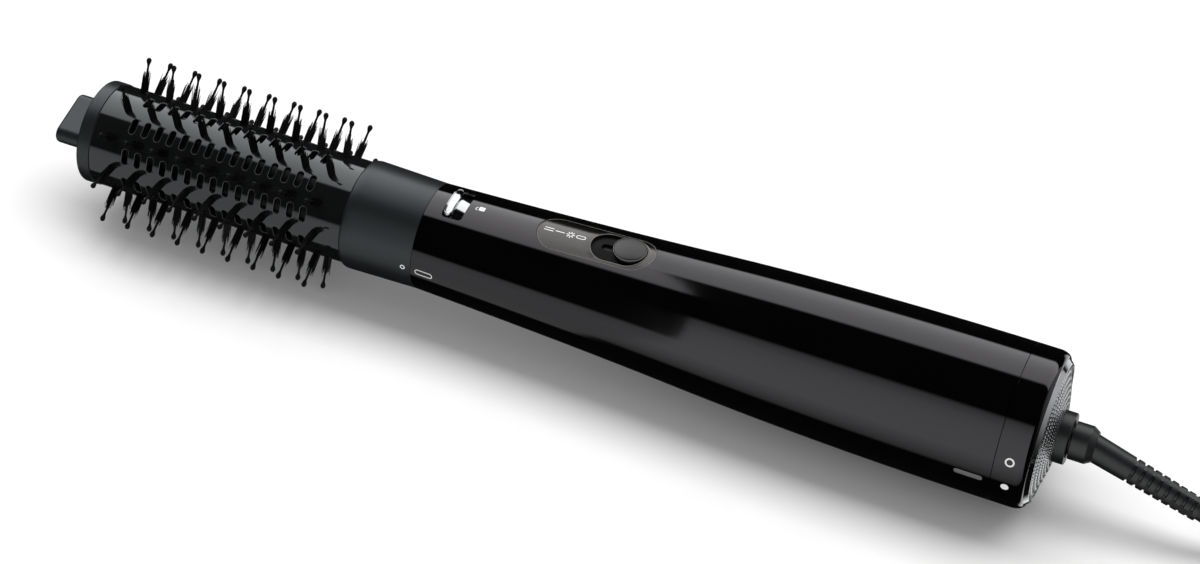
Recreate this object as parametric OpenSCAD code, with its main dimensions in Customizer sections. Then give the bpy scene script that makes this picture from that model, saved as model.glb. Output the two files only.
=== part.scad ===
// Hot air brush: a round brush attachment on a tapered handle, with a mains lead that swivels.
// Modules work in the axis frame: X runs along the brush from its first bristle tuft towards the
// lead, Z points to the side with the controls, and the axis is at y = z = 0.
// place() moves them to the row frame: centred in X and Y, standing on z = 0.

/* [Brush] */
// Distance between bristle tufts along a row
tuft_pitch = 9.2; // [8.8:0.1:9.4]
// Outer radius of the slotted barrel
barrel_r = 17; // [16.8:0.05:17.1]
// Radius at which the centres of the ball tips lie
ball_centre_r = 28.45; // [26:0.05:30]
// Radius of a ball tip
ball_r = 0.85; // [0.6:0.05:1]
// Length of the bristles, as a radius from the axis
bristle_r = 25.2; // [22:0.1:26]
// Angle of the first bristle row from the controls, in degrees
row_turn = -11.3; // [-18:0.1:18]

/* [Tip] */
// Width of the tip grip
grip_w = 19.5; // [18:0.1:24]
// Thickness of the tip grip
grip_t = 6.6; // [5.5:0.1:8]
// How far the tip grip stands in front of the tip ring
grip_l = 10.1; // [8:0.1:14]
// How far the middle of the tip grip stands above the axis
grip_rise = 1.5; // [0:0.1:1.5]

/* [Handle] */
// Radius of the handle where the brush meets it
handle_front_r = 17.6; // [17.5:0.05:17.8]
// Radius where the handle flares most
handle_mid_r = 21.95; // [21.9:0.05:22.3]
// Radius of the handle at its rear
handle_rear_r = 25.2; // [25.1:0.05:25.5]
// Wall of the handle sleeve
sleeve_wall = 1.6; // [1.4:0.05:1.65]

/* [Controls] */
// Travel of the release slider
release_travel = 3; // [2:0.1:3]
// Travel of the switch knob, over three steps
switch_travel = 7.5; // [6:0.1:7.5]
// Radius of the switch knob
knob_r = 5.3; // [4.6:0.1:5.4]

/* [Mains lead] */
// Diameter of the cord
cord_d = 6; // [5.8:0.1:6]
// Downward tilt of the strain relief, in degrees
relief_tilt = 19; // [17:1:21]
// Length of the strain relief
relief_l = 38; // [38:0.1:38]

/* [Hidden] */
$fn = 64;

// Stations along the axis
x_grip = -12.9 - grip_l;
x_ring = -12.9;
x_barrel = -8.3;
x_collar = 82.5;
x_barrel_end = 90;
x_seam = 108;
x_duct = 124.5;
x_mid_r = 198;
x_filter = 302.6;
x_rim = 313;
x_grille = 313.9;
x_boss_end = 320.5;
x_swivel_end = 328.4;
x_relief = 326.4;

// Brush
rows = 10;
tufts = 9;
slots = 15;
ring_r = 17.3;
barrel_wall = 1.4;
slot_w = 2.2;
slot_l = 5.4;
tuft_root_r = 1.2;
axis_h = ball_centre_r * cos(row_turn) + ball_r;
x_centre = (x_grip + x_swivel_end) / 2;

// Handle outline: two cubic curves that meet at x_mid_r
front_slope = 0.036;
mid_slope = 0.066;
function cubic(u, h, ra, sa, rb, sb) =
    ra * (2 * u ^ 3 - 3 * u ^ 2 + 1) + sa * h * (u ^ 3 - 2 * u ^ 2 + u)
    + rb * (3 * u ^ 2 - 2 * u ^ 3) + sb * h * (u ^ 3 - u ^ 2);
function handle_r(x) =
    x < x_mid_r
    ? cubic((x - x_seam) / (x_mid_r - x_seam), x_mid_r - x_seam,
        handle_front_r, front_slope, handle_mid_r, mid_slope)
    : cubic((x - x_mid_r) / (x_filter - x_mid_r), x_filter - x_mid_r,
        handle_mid_r, mid_slope, handle_rear_r, 0);

// Controls
release_x = [113.4, 120.4];
release_half = 6.6;
ridge_l = 3;
plate_x = [144.2, 183.7];
plate_half = 7.4;
recess_half = 6.1;
knob_x = 175.2;
recess_x = [knob_x - knob_r - switch_travel - 0.3, knob_x + knob_r + 0.6];
plate_sink = 0.35;
plate_wall = 1.5;
recess_depth = 1;
board_z = 14;
board_t = 1.1;
latch_x = 117;
latch_z = 14.6;
spring_x = [120.6, 124.2];
spring_z = 14.75;

// Inner works
duct_in = 12.4;
duct_wall = 1.2;
fan_in = 19.6;
flare_x = [200, 222];
x_duct_end = 289.8;
motor_x = [244, 276];
motor_r = 12;
fan_x = [229, 239];
fan_r = 18.8;
seat_r = 23.3;
boss_r = 8.2;
swivel_r = 4.5;
swivel_play = 0.05;

// Mains lead, in the row frame
relief_r = [4.4, 3.7];
relief_start = [x_relief - x_centre, 0, axis_h];
relief_end = relief_start + relief_l * [cos(relief_tilt), 0, -sin(relief_tilt)];
cord_r = cord_d / 2;
floor_gap = 0.05;
run_points = [
    relief_end,
    [215.6, 0.5, 13.6],
    [221.4, 1.8, 10],
    [227, 4, 6.5],
    [232.2, 7, 4.4],
    [237.9, 11.7, 3.7]
];
coil_centre = [268.9, -19.3];
coil_in = 24.5;
coil_step = 6.3;
coil_turns = 3.0625;
climb_turns = 0.3;
layer_z = [3.7, 9.8, 15.9];
coil_out = coil_in + coil_step * coil_turns;
entry_angle = 135;
coil_top = layer_z[1] + cord_r + 0.05;
tail_r = 25;
plug_z = coil_top + 13.05;
plug_relief_l = 22;
plug_l = 36;
pin_r = 2.4;
pin_l = 19;
pin_gap = 19;

// Axis-frame helpers
module place() { translate([-x_centre, 0, axis_h]) children(); }
module lathe() { rotate([0, 90, 0]) rotate_extrude() children(); }
module rod(x0, x1, r) { translate([x0, 0, 0]) rotate([0, 90, 0]) cylinder(h = x1 - x0, r = r); }
module taper(x0, x1, r0, r1) {
    translate([x0, 0, 0]) rotate([0, 90, 0]) cylinder(h = x1 - x0, r1 = r0, r2 = r1);
}
module tube(x0, x1, ro, ri) {
    difference() {
        rod(x0, x1, ro);
        rod(x0 - 1, x1 + 1, ri);
    }
}
module block(x, y, z) { translate([x[0], y[0], z[0]]) cube([x[1] - x[0], y[1] - y[0], z[1] - z[0]]); }
module stadium(x, half) {
    translate([x[0] + half, 0]) circle(r = half);
    translate([x[1] - half, 0]) circle(r = half);
    translate([x[0] + half, -half]) square([x[1] - x[0] - 2 * half, 2 * half]);
}
module around(n, first = 0) { for (i = [0:n - 1]) rotate([first + i * 360 / n, 0, 0]) children(); }
// Solid under the handle's outline, sunk by a given depth, from x0 to x1
module handle_body(x0, x1, sink) {
    steps = ceil((x1 - x0) / 8);
    lathe() polygon(concat(
        [[0, x0]],
        [for (i = [0:steps]) let (x = x0 + (x1 - x0) * i / steps) [handle_r(x) - sink, x]],
        [[0, x1]]));
}

// Cord helpers, in the row frame
function unit(v) = v / norm(v);
function smooth(u) = u * u * (3 - 2 * u);
function spline(a, b, c, d, u) =
    0.5 * (2 * b + (c - a) * u + (2 * a - 5 * b + 4 * c - d) * u ^ 2
        + (3 * b - a - 3 * c + d) * u ^ 3);
function flow(p, n) = let (m = len(p) - 1)
    [for (i = [0:m - 1], k = [0:n - 1])
        spline(p[max(i - 1, 0)], p[i], p[i + 1], p[min(i + 2, m)], k / n), p[m]];
function ring_of(p, t, r, sides, up) =
    let (s = unit(cross(t, up)), u = cross(s, t))
    [for (k = [0:sides - 1]) p + r * (cos(k * 360 / sides) * s + sin(k * 360 / sides) * u)];
module sweep(p, r, sides, up = [0, 0, 1]) {
    n = len(p);
    skin = [for (i = [0:n - 1])
        each ring_of(p[i], unit(p[min(i + 1, n - 1)] - p[max(i - 1, 0)]), r, sides, up)];
    polyhedron(skin, concat(
        [[for (k = [0:sides - 1]) k]],
        [[for (k = [sides - 1:-1:0]) (n - 1) * sides + k]],
        [for (i = [0:n - 2], k = [0:sides - 1]) let (a = i * sides, b = (k + 1) % sides)
            each [[a + k, a + sides + k, a + sides + b], [a + k, a + sides + b, a + b]]]));
}
// The end of the coil: it climbs off the outer turn, then turns back over the coil to the plug
climb_end = entry_angle - 360 * (2 * coil_turns + 2 * climb_turns);
function on_coil(angle, r, z) = [coil_centre[0] + r * cos(angle), coil_centre[1] + r * sin(angle), z];
function climb_point(u) =
    on_coil(climb_end + 360 * climb_turns * (1 - u), coil_out,
        layer_z[1] + (layer_z[2] - layer_z[1]) * smooth(u));
tail_start = on_coil(climb_end, coil_out, layer_z[2]);
tail_centre = tail_start - tail_r * [cos(climb_end), sin(climb_end), 0];
tail_sweep = climb_end - 90 + 360 * ceil((90 - climb_end) / 360);
function tail_point(u) =
    let (a = climb_end - tail_sweep * u)
    [tail_centre[0] + tail_r * cos(a), tail_centre[1] + tail_r * sin(a),
        layer_z[2] + (plug_z - layer_z[2]) * smooth(u)];
plug_start = tail_point(1);

// Tip
module tip_grip() {
    color("#3a4043") place() difference() {
        rotate([-row_turn, 0, 0]) translate([x_grip, 0, grip_rise]) rotate([90, 0, 90])
            linear_extrude(grip_l) stadium([-grip_w / 2, grip_w / 2], grip_t / 2);
        rod(x_ring - 7, x_ring + 1, 1.5);
    }
}
module tip_ring() {
    color("#3a4043") place() difference() {
        lathe() polygon([[1.6, x_ring], [16.6, x_ring], [ring_r, x_ring + 0.7], [ring_r, x_barrel - 0.4],
            [barrel_r, x_barrel], [barrel_r - barrel_wall, x_barrel], [barrel_r - barrel_wall, x_barrel + 3.3],
            [13.6, x_barrel + 3.3], [13.6, x_barrel - 1.8], [1.6, x_barrel - 1.8]]);
    }
}
module tip_screw() {
    color("silver") place() {
        rod(x_ring - 6.5, -1, 1.5);
        difference() {
            rod(-1, 1.5, 2.8);
            block([0.3, 2], [-2, 2], [-0.4, 0.4]);
        }
    }
}
module air_guide() {
    color("#2a2c2e") place() difference() {
        union() {
            rod(x_barrel - 1.8, -1, 13.5);
            taper(-1, 78, 12.8, 8.5);
            taper(78, 88, 8.5, 2);
        }
        rod(-12, 40, 1.6);
        rod(-1, 40, 3.1);
    }
}

// Barrel and bristles
module slot_cutter() {
    translate([0, 0, barrel_r - barrel_wall - 1]) linear_extrude(barrel_wall + 3)
        rotate(90) stadium([-slot_l / 2, slot_l / 2], slot_w / 2);
}
module brush_barrel() {
    color("#141516") place() difference() {
        tube(x_barrel, x_barrel_end, barrel_r, barrel_r - barrel_wall);
        around(rows, row_turn + 18) for (j = [1:slots])
            translate([j * tuft_pitch / 2, 0, 0]) slot_cutter();
        around(rows, row_turn) for (j = [0:tufts - 1])
            translate([j * tuft_pitch, 0, 10]) cylinder(h = 12, r = tuft_root_r);
    }
}
module bristle_row(k) {
    color("#0c0c0d") place() rotate([row_turn + 36 * (k - 1), 0, 0]) {
        block([-2, (tufts - 1) * tuft_pitch + 2], [-1.6, 1.6], [13.5, 15.45]);
        for (j = [0:tufts - 1]) translate([j * tuft_pitch, 0, 0]) {
            translate([0, 0, 15]) cylinder(h = barrel_r - 15, r = tuft_root_r);
            translate([0, 0, barrel_r]) cylinder(h = bristle_r - barrel_r, r1 = tuft_root_r, r2 = 1.7);
            translate([0, 0, barrel_r]) cylinder(h = ball_centre_r - barrel_r, r = 0.45);
            translate([0, 0, ball_centre_r]) sphere(r = ball_r);
        }
    }
}
module brush_collar() {
    color("#2b2f31") place() difference() {
        lathe() polygon([[barrel_r, x_collar], [17.3, x_collar], [17.9, x_collar + 0.5],
            [18.1, x_collar + 1.4], [handle_front_r, x_seam - 0.1], [15.4, x_seam - 0.1], [15.4, 93],
            [13.5, 93], [13.5, x_barrel_end], [barrel_r, x_barrel_end]]);
        block([94, x_seam + 1], [-3.2, 3.2], [14, 16.7]);
    }
}

// Front of the handle
module front_socket() {
    color("#1d1f20") place() difference() {
        union() {
            rod(93.5, x_duct, 15.2);
            rod(x_seam + 0.3, x_duct, 15.9);
        }
        rod(93, x_duct + 1, 12.9);
        block([93, x_duct + 1], [-3.4, 3.4], [13.45, 18]);
        block([109.5, x_duct + 1], [-8, 8], [14, 18]);
    }
    // Posts that hold the latch pin
    color("#1d1f20") place() difference() {
        for (y = [-3.6, 2.6]) block([latch_x - 1, latch_x + 1], [y, y + 1], [13.2, 14.85]);
        translate([latch_x, 4, latch_z]) rotate([90, 0, 0]) cylinder(h = 8, r = 0.3);
    }
}
module handle_sleeve() {
    color("#0a0a0b") place() difference() {
        handle_body(x_seam, x_filter, 0);
        handle_body(x_seam, x_filter, sleeve_wall);
        block(release_x, [-release_half, release_half], [5, 30]);
        translate([0, 0, 5]) linear_extrude(30) stadium(plate_x, plate_half);
    }
}
module release_button() {
    color("#d8dadc") place() intersection() {
        union() {
            tube(110.4, 120.3, 15.85, 15.4);
            lathe() polygon([[15.4, release_x[0] + 0.3], [18.8, release_x[0] + 0.3],
                [19.2, release_x[0] + 0.9], [19.2, release_x[0] + ridge_l - 0.4],
                [18.4, release_x[0] + ridge_l], [17, release_x[0] + ridge_l + 0.4],
                [15.4, release_x[0] + ridge_l + 0.7]]);
        }
        block([100, 125], [-release_half + 0.3, release_half - 0.3], [10, 25]);
    }
}
module latch_lever() {
    color("#c8c9ca") place() difference() {
        union() {
            block([97, 121.5], [-2.4, 2.4], [14.3, 14.95]);
            block([97, 99], [-2.4, 2.4], [14.3, 16.1]);
            translate([latch_x, 2, latch_z]) rotate([90, 0, 0]) cylinder(h = 4, r = 0.6);
        }
        translate([latch_x, 3, latch_z]) rotate([90, 0, 0]) cylinder(h = 6, r = 0.35);
    }
}
module latch_pin() {
    color("silver") place() translate([latch_x, 3.4, latch_z]) rotate([90, 0, 0])
        cylinder(h = 6.8, r = 0.3);
}
module release_spring() {
    turns = 4;
    steps = 12;
    color("silver") place() for (y = [-5, 5])
        sweep([for (k = [0:turns * steps]) let (a = k * 360 / steps)
            [spring_x[0] + (spring_x[1] - spring_x[0]) * k / (turns * steps),
                y + 0.45 * cos(a), spring_z + 0.45 * sin(a)]], 0.12, 6, [1, 0, 0]);
}

// Switch
module switch_plate() {
    color("#2a2624") place() difference() {
        intersection() {
            difference() {
                handle_body(plate_x[0] - 2, plate_x[1] + 2, plate_sink);
                handle_body(plate_x[0] - 3, plate_x[1] + 3, plate_sink + plate_wall);
            }
            linear_extrude(30) stadium([plate_x[0] + 0.15, plate_x[1] - 0.15], plate_half - 0.15);
        }
        difference() {
            linear_extrude(30) stadium(recess_x, recess_half);
            handle_body(plate_x[0] - 3, plate_x[1] + 3, plate_sink + recess_depth);
        }
        block([knob_x - switch_travel - 2.1, knob_x + 2.1], [-1.5, 1.5], [5, 30]);
    }
}
module switch_knob() {
    knob_z = handle_r(knob_x) - plate_sink - recess_depth + 0.35;
    color("#101011") place() translate([knob_x, 0, 0]) {
        rotate_extrude() polygon([[0, knob_z], [knob_r - 0.2, knob_z], [knob_r, knob_z + 0.4],
            [knob_r, knob_z + 1.5], [knob_r - 0.5, knob_z + 2.2], [3.6, knob_z + 2.7], [1.8, knob_z + 2.9],
            [0, knob_z + 2.95]]);
        block([-1.8, 1.8], [-1.2, 1.2], [18.4, knob_z + 0.1]);
    }
}
module switch_contact() {
    color("#e0e0dc") place() block([knob_x - 2, knob_x + 2], [-1.2, 1.2], [17.75, 18.4]);
}
module slide_switch() {
    color("#35383a") place() block([164, 180.5], [-3.5, 3.5], [board_z + board_t, 17.6]);
}
module circuit_board() {
    color("#1f6b3a") place() block([146, 186], [-7.5, 7.5], [board_z, board_z + board_t]);
}
module board_parts() {
    color("#222222") place() {
        for (x = [147.5, 152]) block([x, x + 3], [-3.2, 3.2], [board_z + board_t, 16.6]);
        translate([159, 0, board_z + board_t]) cylinder(h = 1.6, r = 2.6);
    }
}

// Heater
module heater_boards() {
    color("#d9cfae") place() {
        block([132, 196], [-0.4, 0.4], [-11, 11]);
        block([132, 196], [-11, 11], [-0.4, 0.4]);
    }
}
module heater_coil() {
    color("#9a8f86") place()
        sweep([for (k = [0:168]) [134 + 60 * k / 168, 11.5 * cos(k * 30), 11.5 * sin(k * 30)]],
            0.4, 6, [1, 0, 0]);
}
module heater_sleeve() { color("#c9bd97") place() tube(130, 198, 12.3, 12.0); }
module thermostat() { color("#b9b9b2") place() block([197.5, 204], [-3, 3], [-1.6, 1.6]); }
module thermal_fuse() {
    color("#d8d3c4") place() translate([208, 5, 0]) rotate([90, 0, 0]) cylinder(h = 10, r = 1.3);
}

// Duct, motor and fan
module duct_half(side) {
    color("#2d3032") place() difference() {
        lathe() polygon([[duct_in, x_duct], [duct_in + duct_wall, x_duct], [duct_in + duct_wall, flare_x[0]],
            [fan_in + duct_wall, flare_x[1]], [fan_in + duct_wall, x_duct_end], [fan_in, x_duct_end],
            [fan_in, flare_x[1]], [duct_in, flare_x[0]]]);
        block([x_duct - 1, x_duct_end + 1], [-30, 30], side > 0 ? [-30, 0] : [0, 30]);
    }
}
module duct_upper() { duct_half(1); }
module duct_lower() { duct_half(-1); }
module motor_mount() {
    color("#2d3032") place() {
        tube(246, 254, 13.4, motor_r);
        difference() {
            around(6, 30) block([246, 254], [-0.7, 0.7], [13, fan_in - 0.1]);
            rod(245, 255, 13.2);
        }
    }
}
module impeller() {
    color("#e8e8e4") place() difference() {
        union() {
            rod(fan_x[0], fan_x[1], 5);
            intersection() {
                around(7) translate([(fan_x[0] + fan_x[1]) / 2, 0, 0]) rotate([0, 0, 35])
                    block([-8, 8], [-0.6, 0.6], [4, 20]);
                rod(fan_x[0] + 0.5, fan_x[1] - 0.5, fan_r);
            }
        }
        rod(fan_x[0] - 1, fan_x[1] + 1, 1);
    }
}
module motor_shaft() { color("silver") place() rod(227, motor_x[0] + 6, 1); }
module motor_can() {
    color("#b8babc") place() difference() {
        union() {
            rod(motor_x[0], motor_x[1], motor_r);
            rod(motor_x[0] - 2.5, motor_x[0], 3.5);
        }
        rod(motor_x[0] - 3, motor_x[0] + 7, 1.05);
        rod(motor_x[0] + 8, motor_x[1] + 1, motor_r - 1);
    }
}
module motor_end_cap() {
    color("#efeee8") place() {
        rod(motor_x[1] - 4, motor_x[1], motor_r - 1);
        rod(motor_x[1], motor_x[1] + 2, motor_r - 0.5);
        for (y = [-6, 6]) block([motor_x[1] + 1, motor_x[1] + 7], [y - 0.4, y + 0.4], [-2, 2]);
    }
}
module wiring() {
    color("#7c1f1f") place() for (y = [-3, 3])
        sweep([[287, y, 21.1], [258, y, 21.1], [224, y, 21.1], [214, y, 20], [204, y, 18.3],
            [194, y, 16.3], [187, y, 14.6]], 0.3, 8);
}

// Rear of the handle
module bayonet_seat() {
    color("#1d1f20") place() difference() {
        union() {
            tube(290, 302.4, seat_r, 19.5);
            tube(302, 308, 22.1, 19.5);
            tube(296, 300, 12.5, boss_r + 0.02);
            around(4, 45) block([296, 300], [-2, 2], [12.3, 19.7]);
        }
        around(3, 90) rotate([0, 90, 0]) translate([-21, 0, 289]) cylinder(h = 8, r = 0.9);
    }
}
module seat_screws() {
    color("silver") place() around(3, 90) rotate([0, 90, 0]) {
        translate([-21, 0, 290.2]) cylinder(h = 6.5, r = 0.9);
    }
}
module cord_boss() {
    color("#17181a") place() difference() {
        union() {
            rod(295, x_boss_end - 0.6, boss_r);
            taper(x_boss_end - 0.6, x_boss_end, boss_r, boss_r - 0.6);
            rod(300, 302, 12.4);
        }
        rod(290, 299.2, 6.3);
        rod(299, x_boss_end + 1, swivel_r + swivel_play);
    }
}

// Filter
module filter_ring() {
    shoulder = [for (a = [0:15:90]) [23.4 + 1.8 * cos(a), 309.4 + (x_rim - 309.4) * sin(a)]];
    color("#0a0a0b") place() lathe() polygon(concat(
        [[22.4, x_filter + 0.2], [handle_rear_r, x_filter + 0.2]], shoulder,
        [[23.4, 311.5], [22.4, 311.5]]));
}
module filter_rim() {
    color("#d8dadc") place() lathe() polygon([[21.4, 311.6], [23.35, 311.6], [23.35, x_rim],
        [22, x_rim + 1.4], [21.4, x_rim + 1.4]]);
}
module filter_grille() {
    dome_r = 63.7;
    function dome_x(r) = 317.5 - (dome_r - sqrt(dome_r ^ 2 - r ^ 2));
    radii = [8.6, 11, 13.5, 16, 18.5, 21.35];
    color("#4a4c50") place() difference() {
        lathe() polygon(concat(
            [for (r = radii) [r, dome_x(r)]],
            [for (i = [len(radii) - 1:-1:0]) [radii[i], dome_x(radii[i]) - 0.8]]));
        for (ring = [0:4]) let (r = 10.2 + 2.4 * ring)
            around(18 + 6 * ring) translate([312, 0, r]) rotate([0, 90, 0]) cylinder(h = 7, r = 0.6);
    }
}
module lint_frame() {
    color("#202224") place() {
        tube(309.2, 311.2, 22.1, 19.8);
        tube(309.2, 311.2, 10.4, boss_r + 0.5);
        around(4) block([309.2, 311.2], [-0.8, 0.8], [10.2, 20]);
    }
}
module lint_screen() { color("#6a6c6e") place() tube(308.6, 309.2, 22.1, boss_r + 0.5); }

// Swivel and strain relief
module swivel_barrel() {
    color("#1c1d20") place() difference() {
        union() {
            rod(295.5, x_boss_end + 0.6, swivel_r);
            rod(x_boss_end + 0.4, 326.4, 6);
            taper(326.4, x_swivel_end, 6, 4.7);
        }
        rod(296.6, 297.4, swivel_r + 1);
        rod(295, 325, 2);
    }
    color("#1c1d20") place() tube(296.5, 297.5, 4, 2);
}
module swivel_clip() { color("silver") place() tube(296.65, 297.35, 5.8, 4); }
module strain_relief() {
    color("#1c1d20") translate(relief_start) rotate([0, 90 + relief_tilt, 0]) difference() {
        cylinder(h = relief_l, r1 = relief_r[0], r2 = relief_r[1]);
        for (z = [14:3:35]) translate([0, 0, z]) difference() {
            cylinder(h = 1.1, r = 6);
            translate([0, 0, -1]) cylinder(h = 4, r = 3.1);
            translate([-6, -1, -1]) cube([12, 2, 4]);
        }
    }
}

// Lead
module cord_run() { color("#17181a") sweep(flow(run_points, 3), cord_r, 8); }
module cord_coil() {
    r = [coil_in - cord_r - 0.05, coil_out + cord_r + 0.05];
    z = [layer_z[0] - cord_r - 0.05, coil_top];
    color("#17181a") translate(coil_centre) rotate_extrude() polygon([
        [r[0] + 2, z[0]], [r[1] - 2, z[0]], [r[1], z[0] + 2], [r[1], z[1] - 2], [r[1] - 2, z[1]],
        [r[0] + 2, z[1]], [r[0], z[1] - 2], [r[0], z[0] + 2]]);
}
module cord_tail() {
    climb = [for (k = [0:8]) climb_point(k / 8)];
    back = [for (k = [1:10]) tail_point(k / 10)];
    color("#17181a") sweep(concat(climb, back), cord_r, 8);
}
module coil_tie() {
    r = [sqrt((coil_in - cord_r - 0.1) ^ 2 - 16), coil_out + cord_r + 0.1];
    z = [layer_z[0] - cord_r - 0.1, coil_top + 0.05];
    color("#101112") translate(coil_centre) rotate(200) difference() {
        block([r[0] - 0.5, r[1] + 0.5], [-4, 4], [floor_gap, z[1] + 0.5]);
        block(r, [-5, 5], z);
    }
}
module plug_relief() {
    color("#17181a") translate(plug_start) rotate([0, 90, 0]) cylinder(h = plug_relief_l, r1 = 3.4, r2 = 5.5);
}
module plug_face(x, w, t) {
    translate(plug_start + [plug_relief_l + x, 0, 0]) rotate([90, 0, 90]) linear_extrude(0.5)
        stadium([-w / 2, w / 2], t / 2);
}
module plug_body() {
    color("#17181a") {
        hull() {
            plug_face(0, 16, 12);
            plug_face(10, 26, 20);
        }
        hull() {
            plug_face(10, 26, 20);
            plug_face(22, 36, 26);
        }
        hull() {
            plug_face(22, 36, 26);
            plug_face(plug_l - 0.5, 36.8, 26);
        }
    }
}
module plug_pins() {
    color("#d0d2d4") for (y = [-pin_gap / 2, pin_gap / 2])
        translate(plug_start + [plug_relief_l + plug_l, y, 0]) rotate([0, 90, 0]) cylinder(h = pin_l, r = pin_r);
}

tip_grip();
tip_ring();
tip_screw();
brush_barrel();
air_guide();
bristle_row(1);  // bristle_row_01
bristle_row(2);  // bristle_row_02
bristle_row(3);  // bristle_row_03
bristle_row(4);  // bristle_row_04
bristle_row(5);  // bristle_row_05
bristle_row(6);  // bristle_row_06
bristle_row(7);  // bristle_row_07
bristle_row(8);  // bristle_row_08
bristle_row(9);  // bristle_row_09
bristle_row(10);  // bristle_row_10
brush_collar();
front_socket();
handle_sleeve();
switch_plate();
switch_knob();
switch_contact();
slide_switch();
circuit_board();
board_parts();
release_button();
latch_lever();
latch_pin();
release_spring();
heater_boards();
heater_coil();
heater_sleeve();
thermostat();
thermal_fuse();
duct_upper();
duct_lower();
motor_mount();
impeller();
motor_shaft();
motor_can();
motor_end_cap();
wiring();
bayonet_seat();
seat_screws();
filter_ring();
filter_rim();
filter_grille();
lint_frame();
lint_screen();
cord_boss();
swivel_barrel();
swivel_clip();
strain_relief();
cord_run();
cord_coil();
cord_tail();
coil_tie();
plug_relief();
plug_body();
plug_pins();
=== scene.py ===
"""Hot air brush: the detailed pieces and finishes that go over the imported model."""

import math
import random

import bmesh
import bpy
from mathutils import Matrix, Vector


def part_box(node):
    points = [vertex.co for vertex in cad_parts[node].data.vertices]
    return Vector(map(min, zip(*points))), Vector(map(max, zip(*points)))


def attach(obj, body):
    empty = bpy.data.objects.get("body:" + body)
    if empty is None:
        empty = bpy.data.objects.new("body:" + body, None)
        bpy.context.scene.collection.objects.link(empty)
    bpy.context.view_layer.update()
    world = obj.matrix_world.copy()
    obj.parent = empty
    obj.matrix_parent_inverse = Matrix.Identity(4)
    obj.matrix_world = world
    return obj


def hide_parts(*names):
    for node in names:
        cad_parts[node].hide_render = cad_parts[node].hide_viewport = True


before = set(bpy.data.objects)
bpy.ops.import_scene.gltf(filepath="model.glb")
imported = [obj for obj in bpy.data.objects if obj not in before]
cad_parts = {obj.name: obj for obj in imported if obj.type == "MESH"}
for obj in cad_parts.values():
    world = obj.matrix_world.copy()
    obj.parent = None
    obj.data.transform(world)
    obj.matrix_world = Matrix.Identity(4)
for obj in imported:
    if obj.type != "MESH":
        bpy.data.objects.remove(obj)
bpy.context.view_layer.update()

# Pieces are made in the axis frame: millimetres, X along the brush from its first bristle tuft
# towards the lead, Z on the side with the controls. TO_ROW puts them in the shared frame.
MM = 0.001
FULL_TURN = 2 * math.pi
RING_FRONT = -12.9
ring_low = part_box("tip_ring")[0]
filter_low, filter_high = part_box("filter_ring")
AXIS_Z = (filter_low.z + filter_high.z) / 2
TO_ROW = Matrix.Translation((ring_low.x - RING_FRONT * MM, 0, AXIS_Z)) @ Matrix.Scale(MM, 4)
FROM_ROW = TO_ROW.inverted()
# Stands a shape drawn in XY up across the axis: its X goes to Y, its Y to Z, its Z to X
ACROSS = Matrix(((0, 0, 1, 0), (1, 0, 0, 0), (0, 1, 0, 0), (0, 0, 0, 1)))

# Brush
BARREL_R = 17
BARREL_X = (-8.3, 90)
BARREL_WALL = 1.4
# Along the brush, and the radius there
COLLAR_WIDEST = (86, 18.08)
COLLAR_END = (107.9, 17.58)
TUFT_PITCH = 9.2
TUFTS = 9
ROWS = 10
ROW_TURN = math.radians(-11.3)
ROW_STEP = FULL_TURN / ROWS
SLOTS = 15
SLOT_WIDTH = 2.2
SLOT_LENGTH = 5.4
SHORTEST_R, BRISTLE_R = 22.2, 25.2
GOLDEN_ANGLE = 2.399963
TUFT_TWIST = 1.3
BALL_R = 0.85
BALL_TIP_R = 29.3

# Handle
SEAM_X = 108
MID_X = 198
FILTER_X = 302.6
FRONT_R, MID_R, REAR_R = 17.6, 21.95, 25.2
FRONT_SLOPE, MID_SLOPE = 0.036, 0.066
SLEEVE_WALL = 1.6
RELEASE_X = (113.4, 120.4)
RELEASE_HALF = 6.6
RIDGE_CROWN, RAMP_CROWN = 0.034, 0.02
PLATE_X = (144.2, 183.7)
PLATE_HALF = 7.4
PLATE_SINK = 0.35
PLATE_WALL = 1.5
PLATE_PLAY = 0.15
PLATE_EDGE = (PLATE_X[0] + PLATE_PLAY, PLATE_X[1] - PLATE_PLAY, PLATE_HALF - PLATE_PLAY)
KNOB_X = 175.2
KNOB_R = 5.3
KNOB_TRAVEL = 7.5
RECESS_X = (162.1, 181.1)
RECESS_HALF = 6.1
RECESS_DEPTH = 1.0

# Lead: PLUG_BODY is where the plug's body starts and ends, along it from the end of the cord
PLUG_BODY = (22, 58)
RELIEF_X = 326.4
RELIEF_TILT = math.radians(19)
RELIEF_LENGTH = 38
CORD_R = 3


def put_in_scene(name, data):
    made = bpy.data.objects.new(name, data)
    bpy.context.scene.collection.objects.link(made)
    return made


def mesh_of(name, bm):
    """The mesh of what was made in a bmesh, which is then let go."""
    mesh = bpy.data.meshes.new(name)
    bm.to_mesh(mesh)
    bm.free()
    return mesh


def hermite(x, x0, x1, r0, s0, r1, s1):
    """Radius at x on the cubic that leaves r0 with slope s0 and reaches r1 with slope s1."""
    h = x1 - x0
    u = (x - x0) / h
    return (
        r0 * (2 * u**3 - 3 * u**2 + 1)
        + s0 * h * (u**3 - 2 * u**2 + u)
        + r1 * (3 * u**2 - 2 * u**3)
        + s1 * h * (u**3 - u**2)
    )


def handle_radius(x):
    if x < MID_X:
        return hermite(x, SEAM_X, MID_X, FRONT_R, FRONT_SLOPE, MID_R, MID_SLOPE)
    return hermite(x, MID_X, FILTER_X, MID_R, MID_SLOPE, REAR_R, 0)


def handle_slope(x):
    return (handle_radius(x + 0.05) - handle_radius(x - 0.05)) / 0.1


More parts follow.
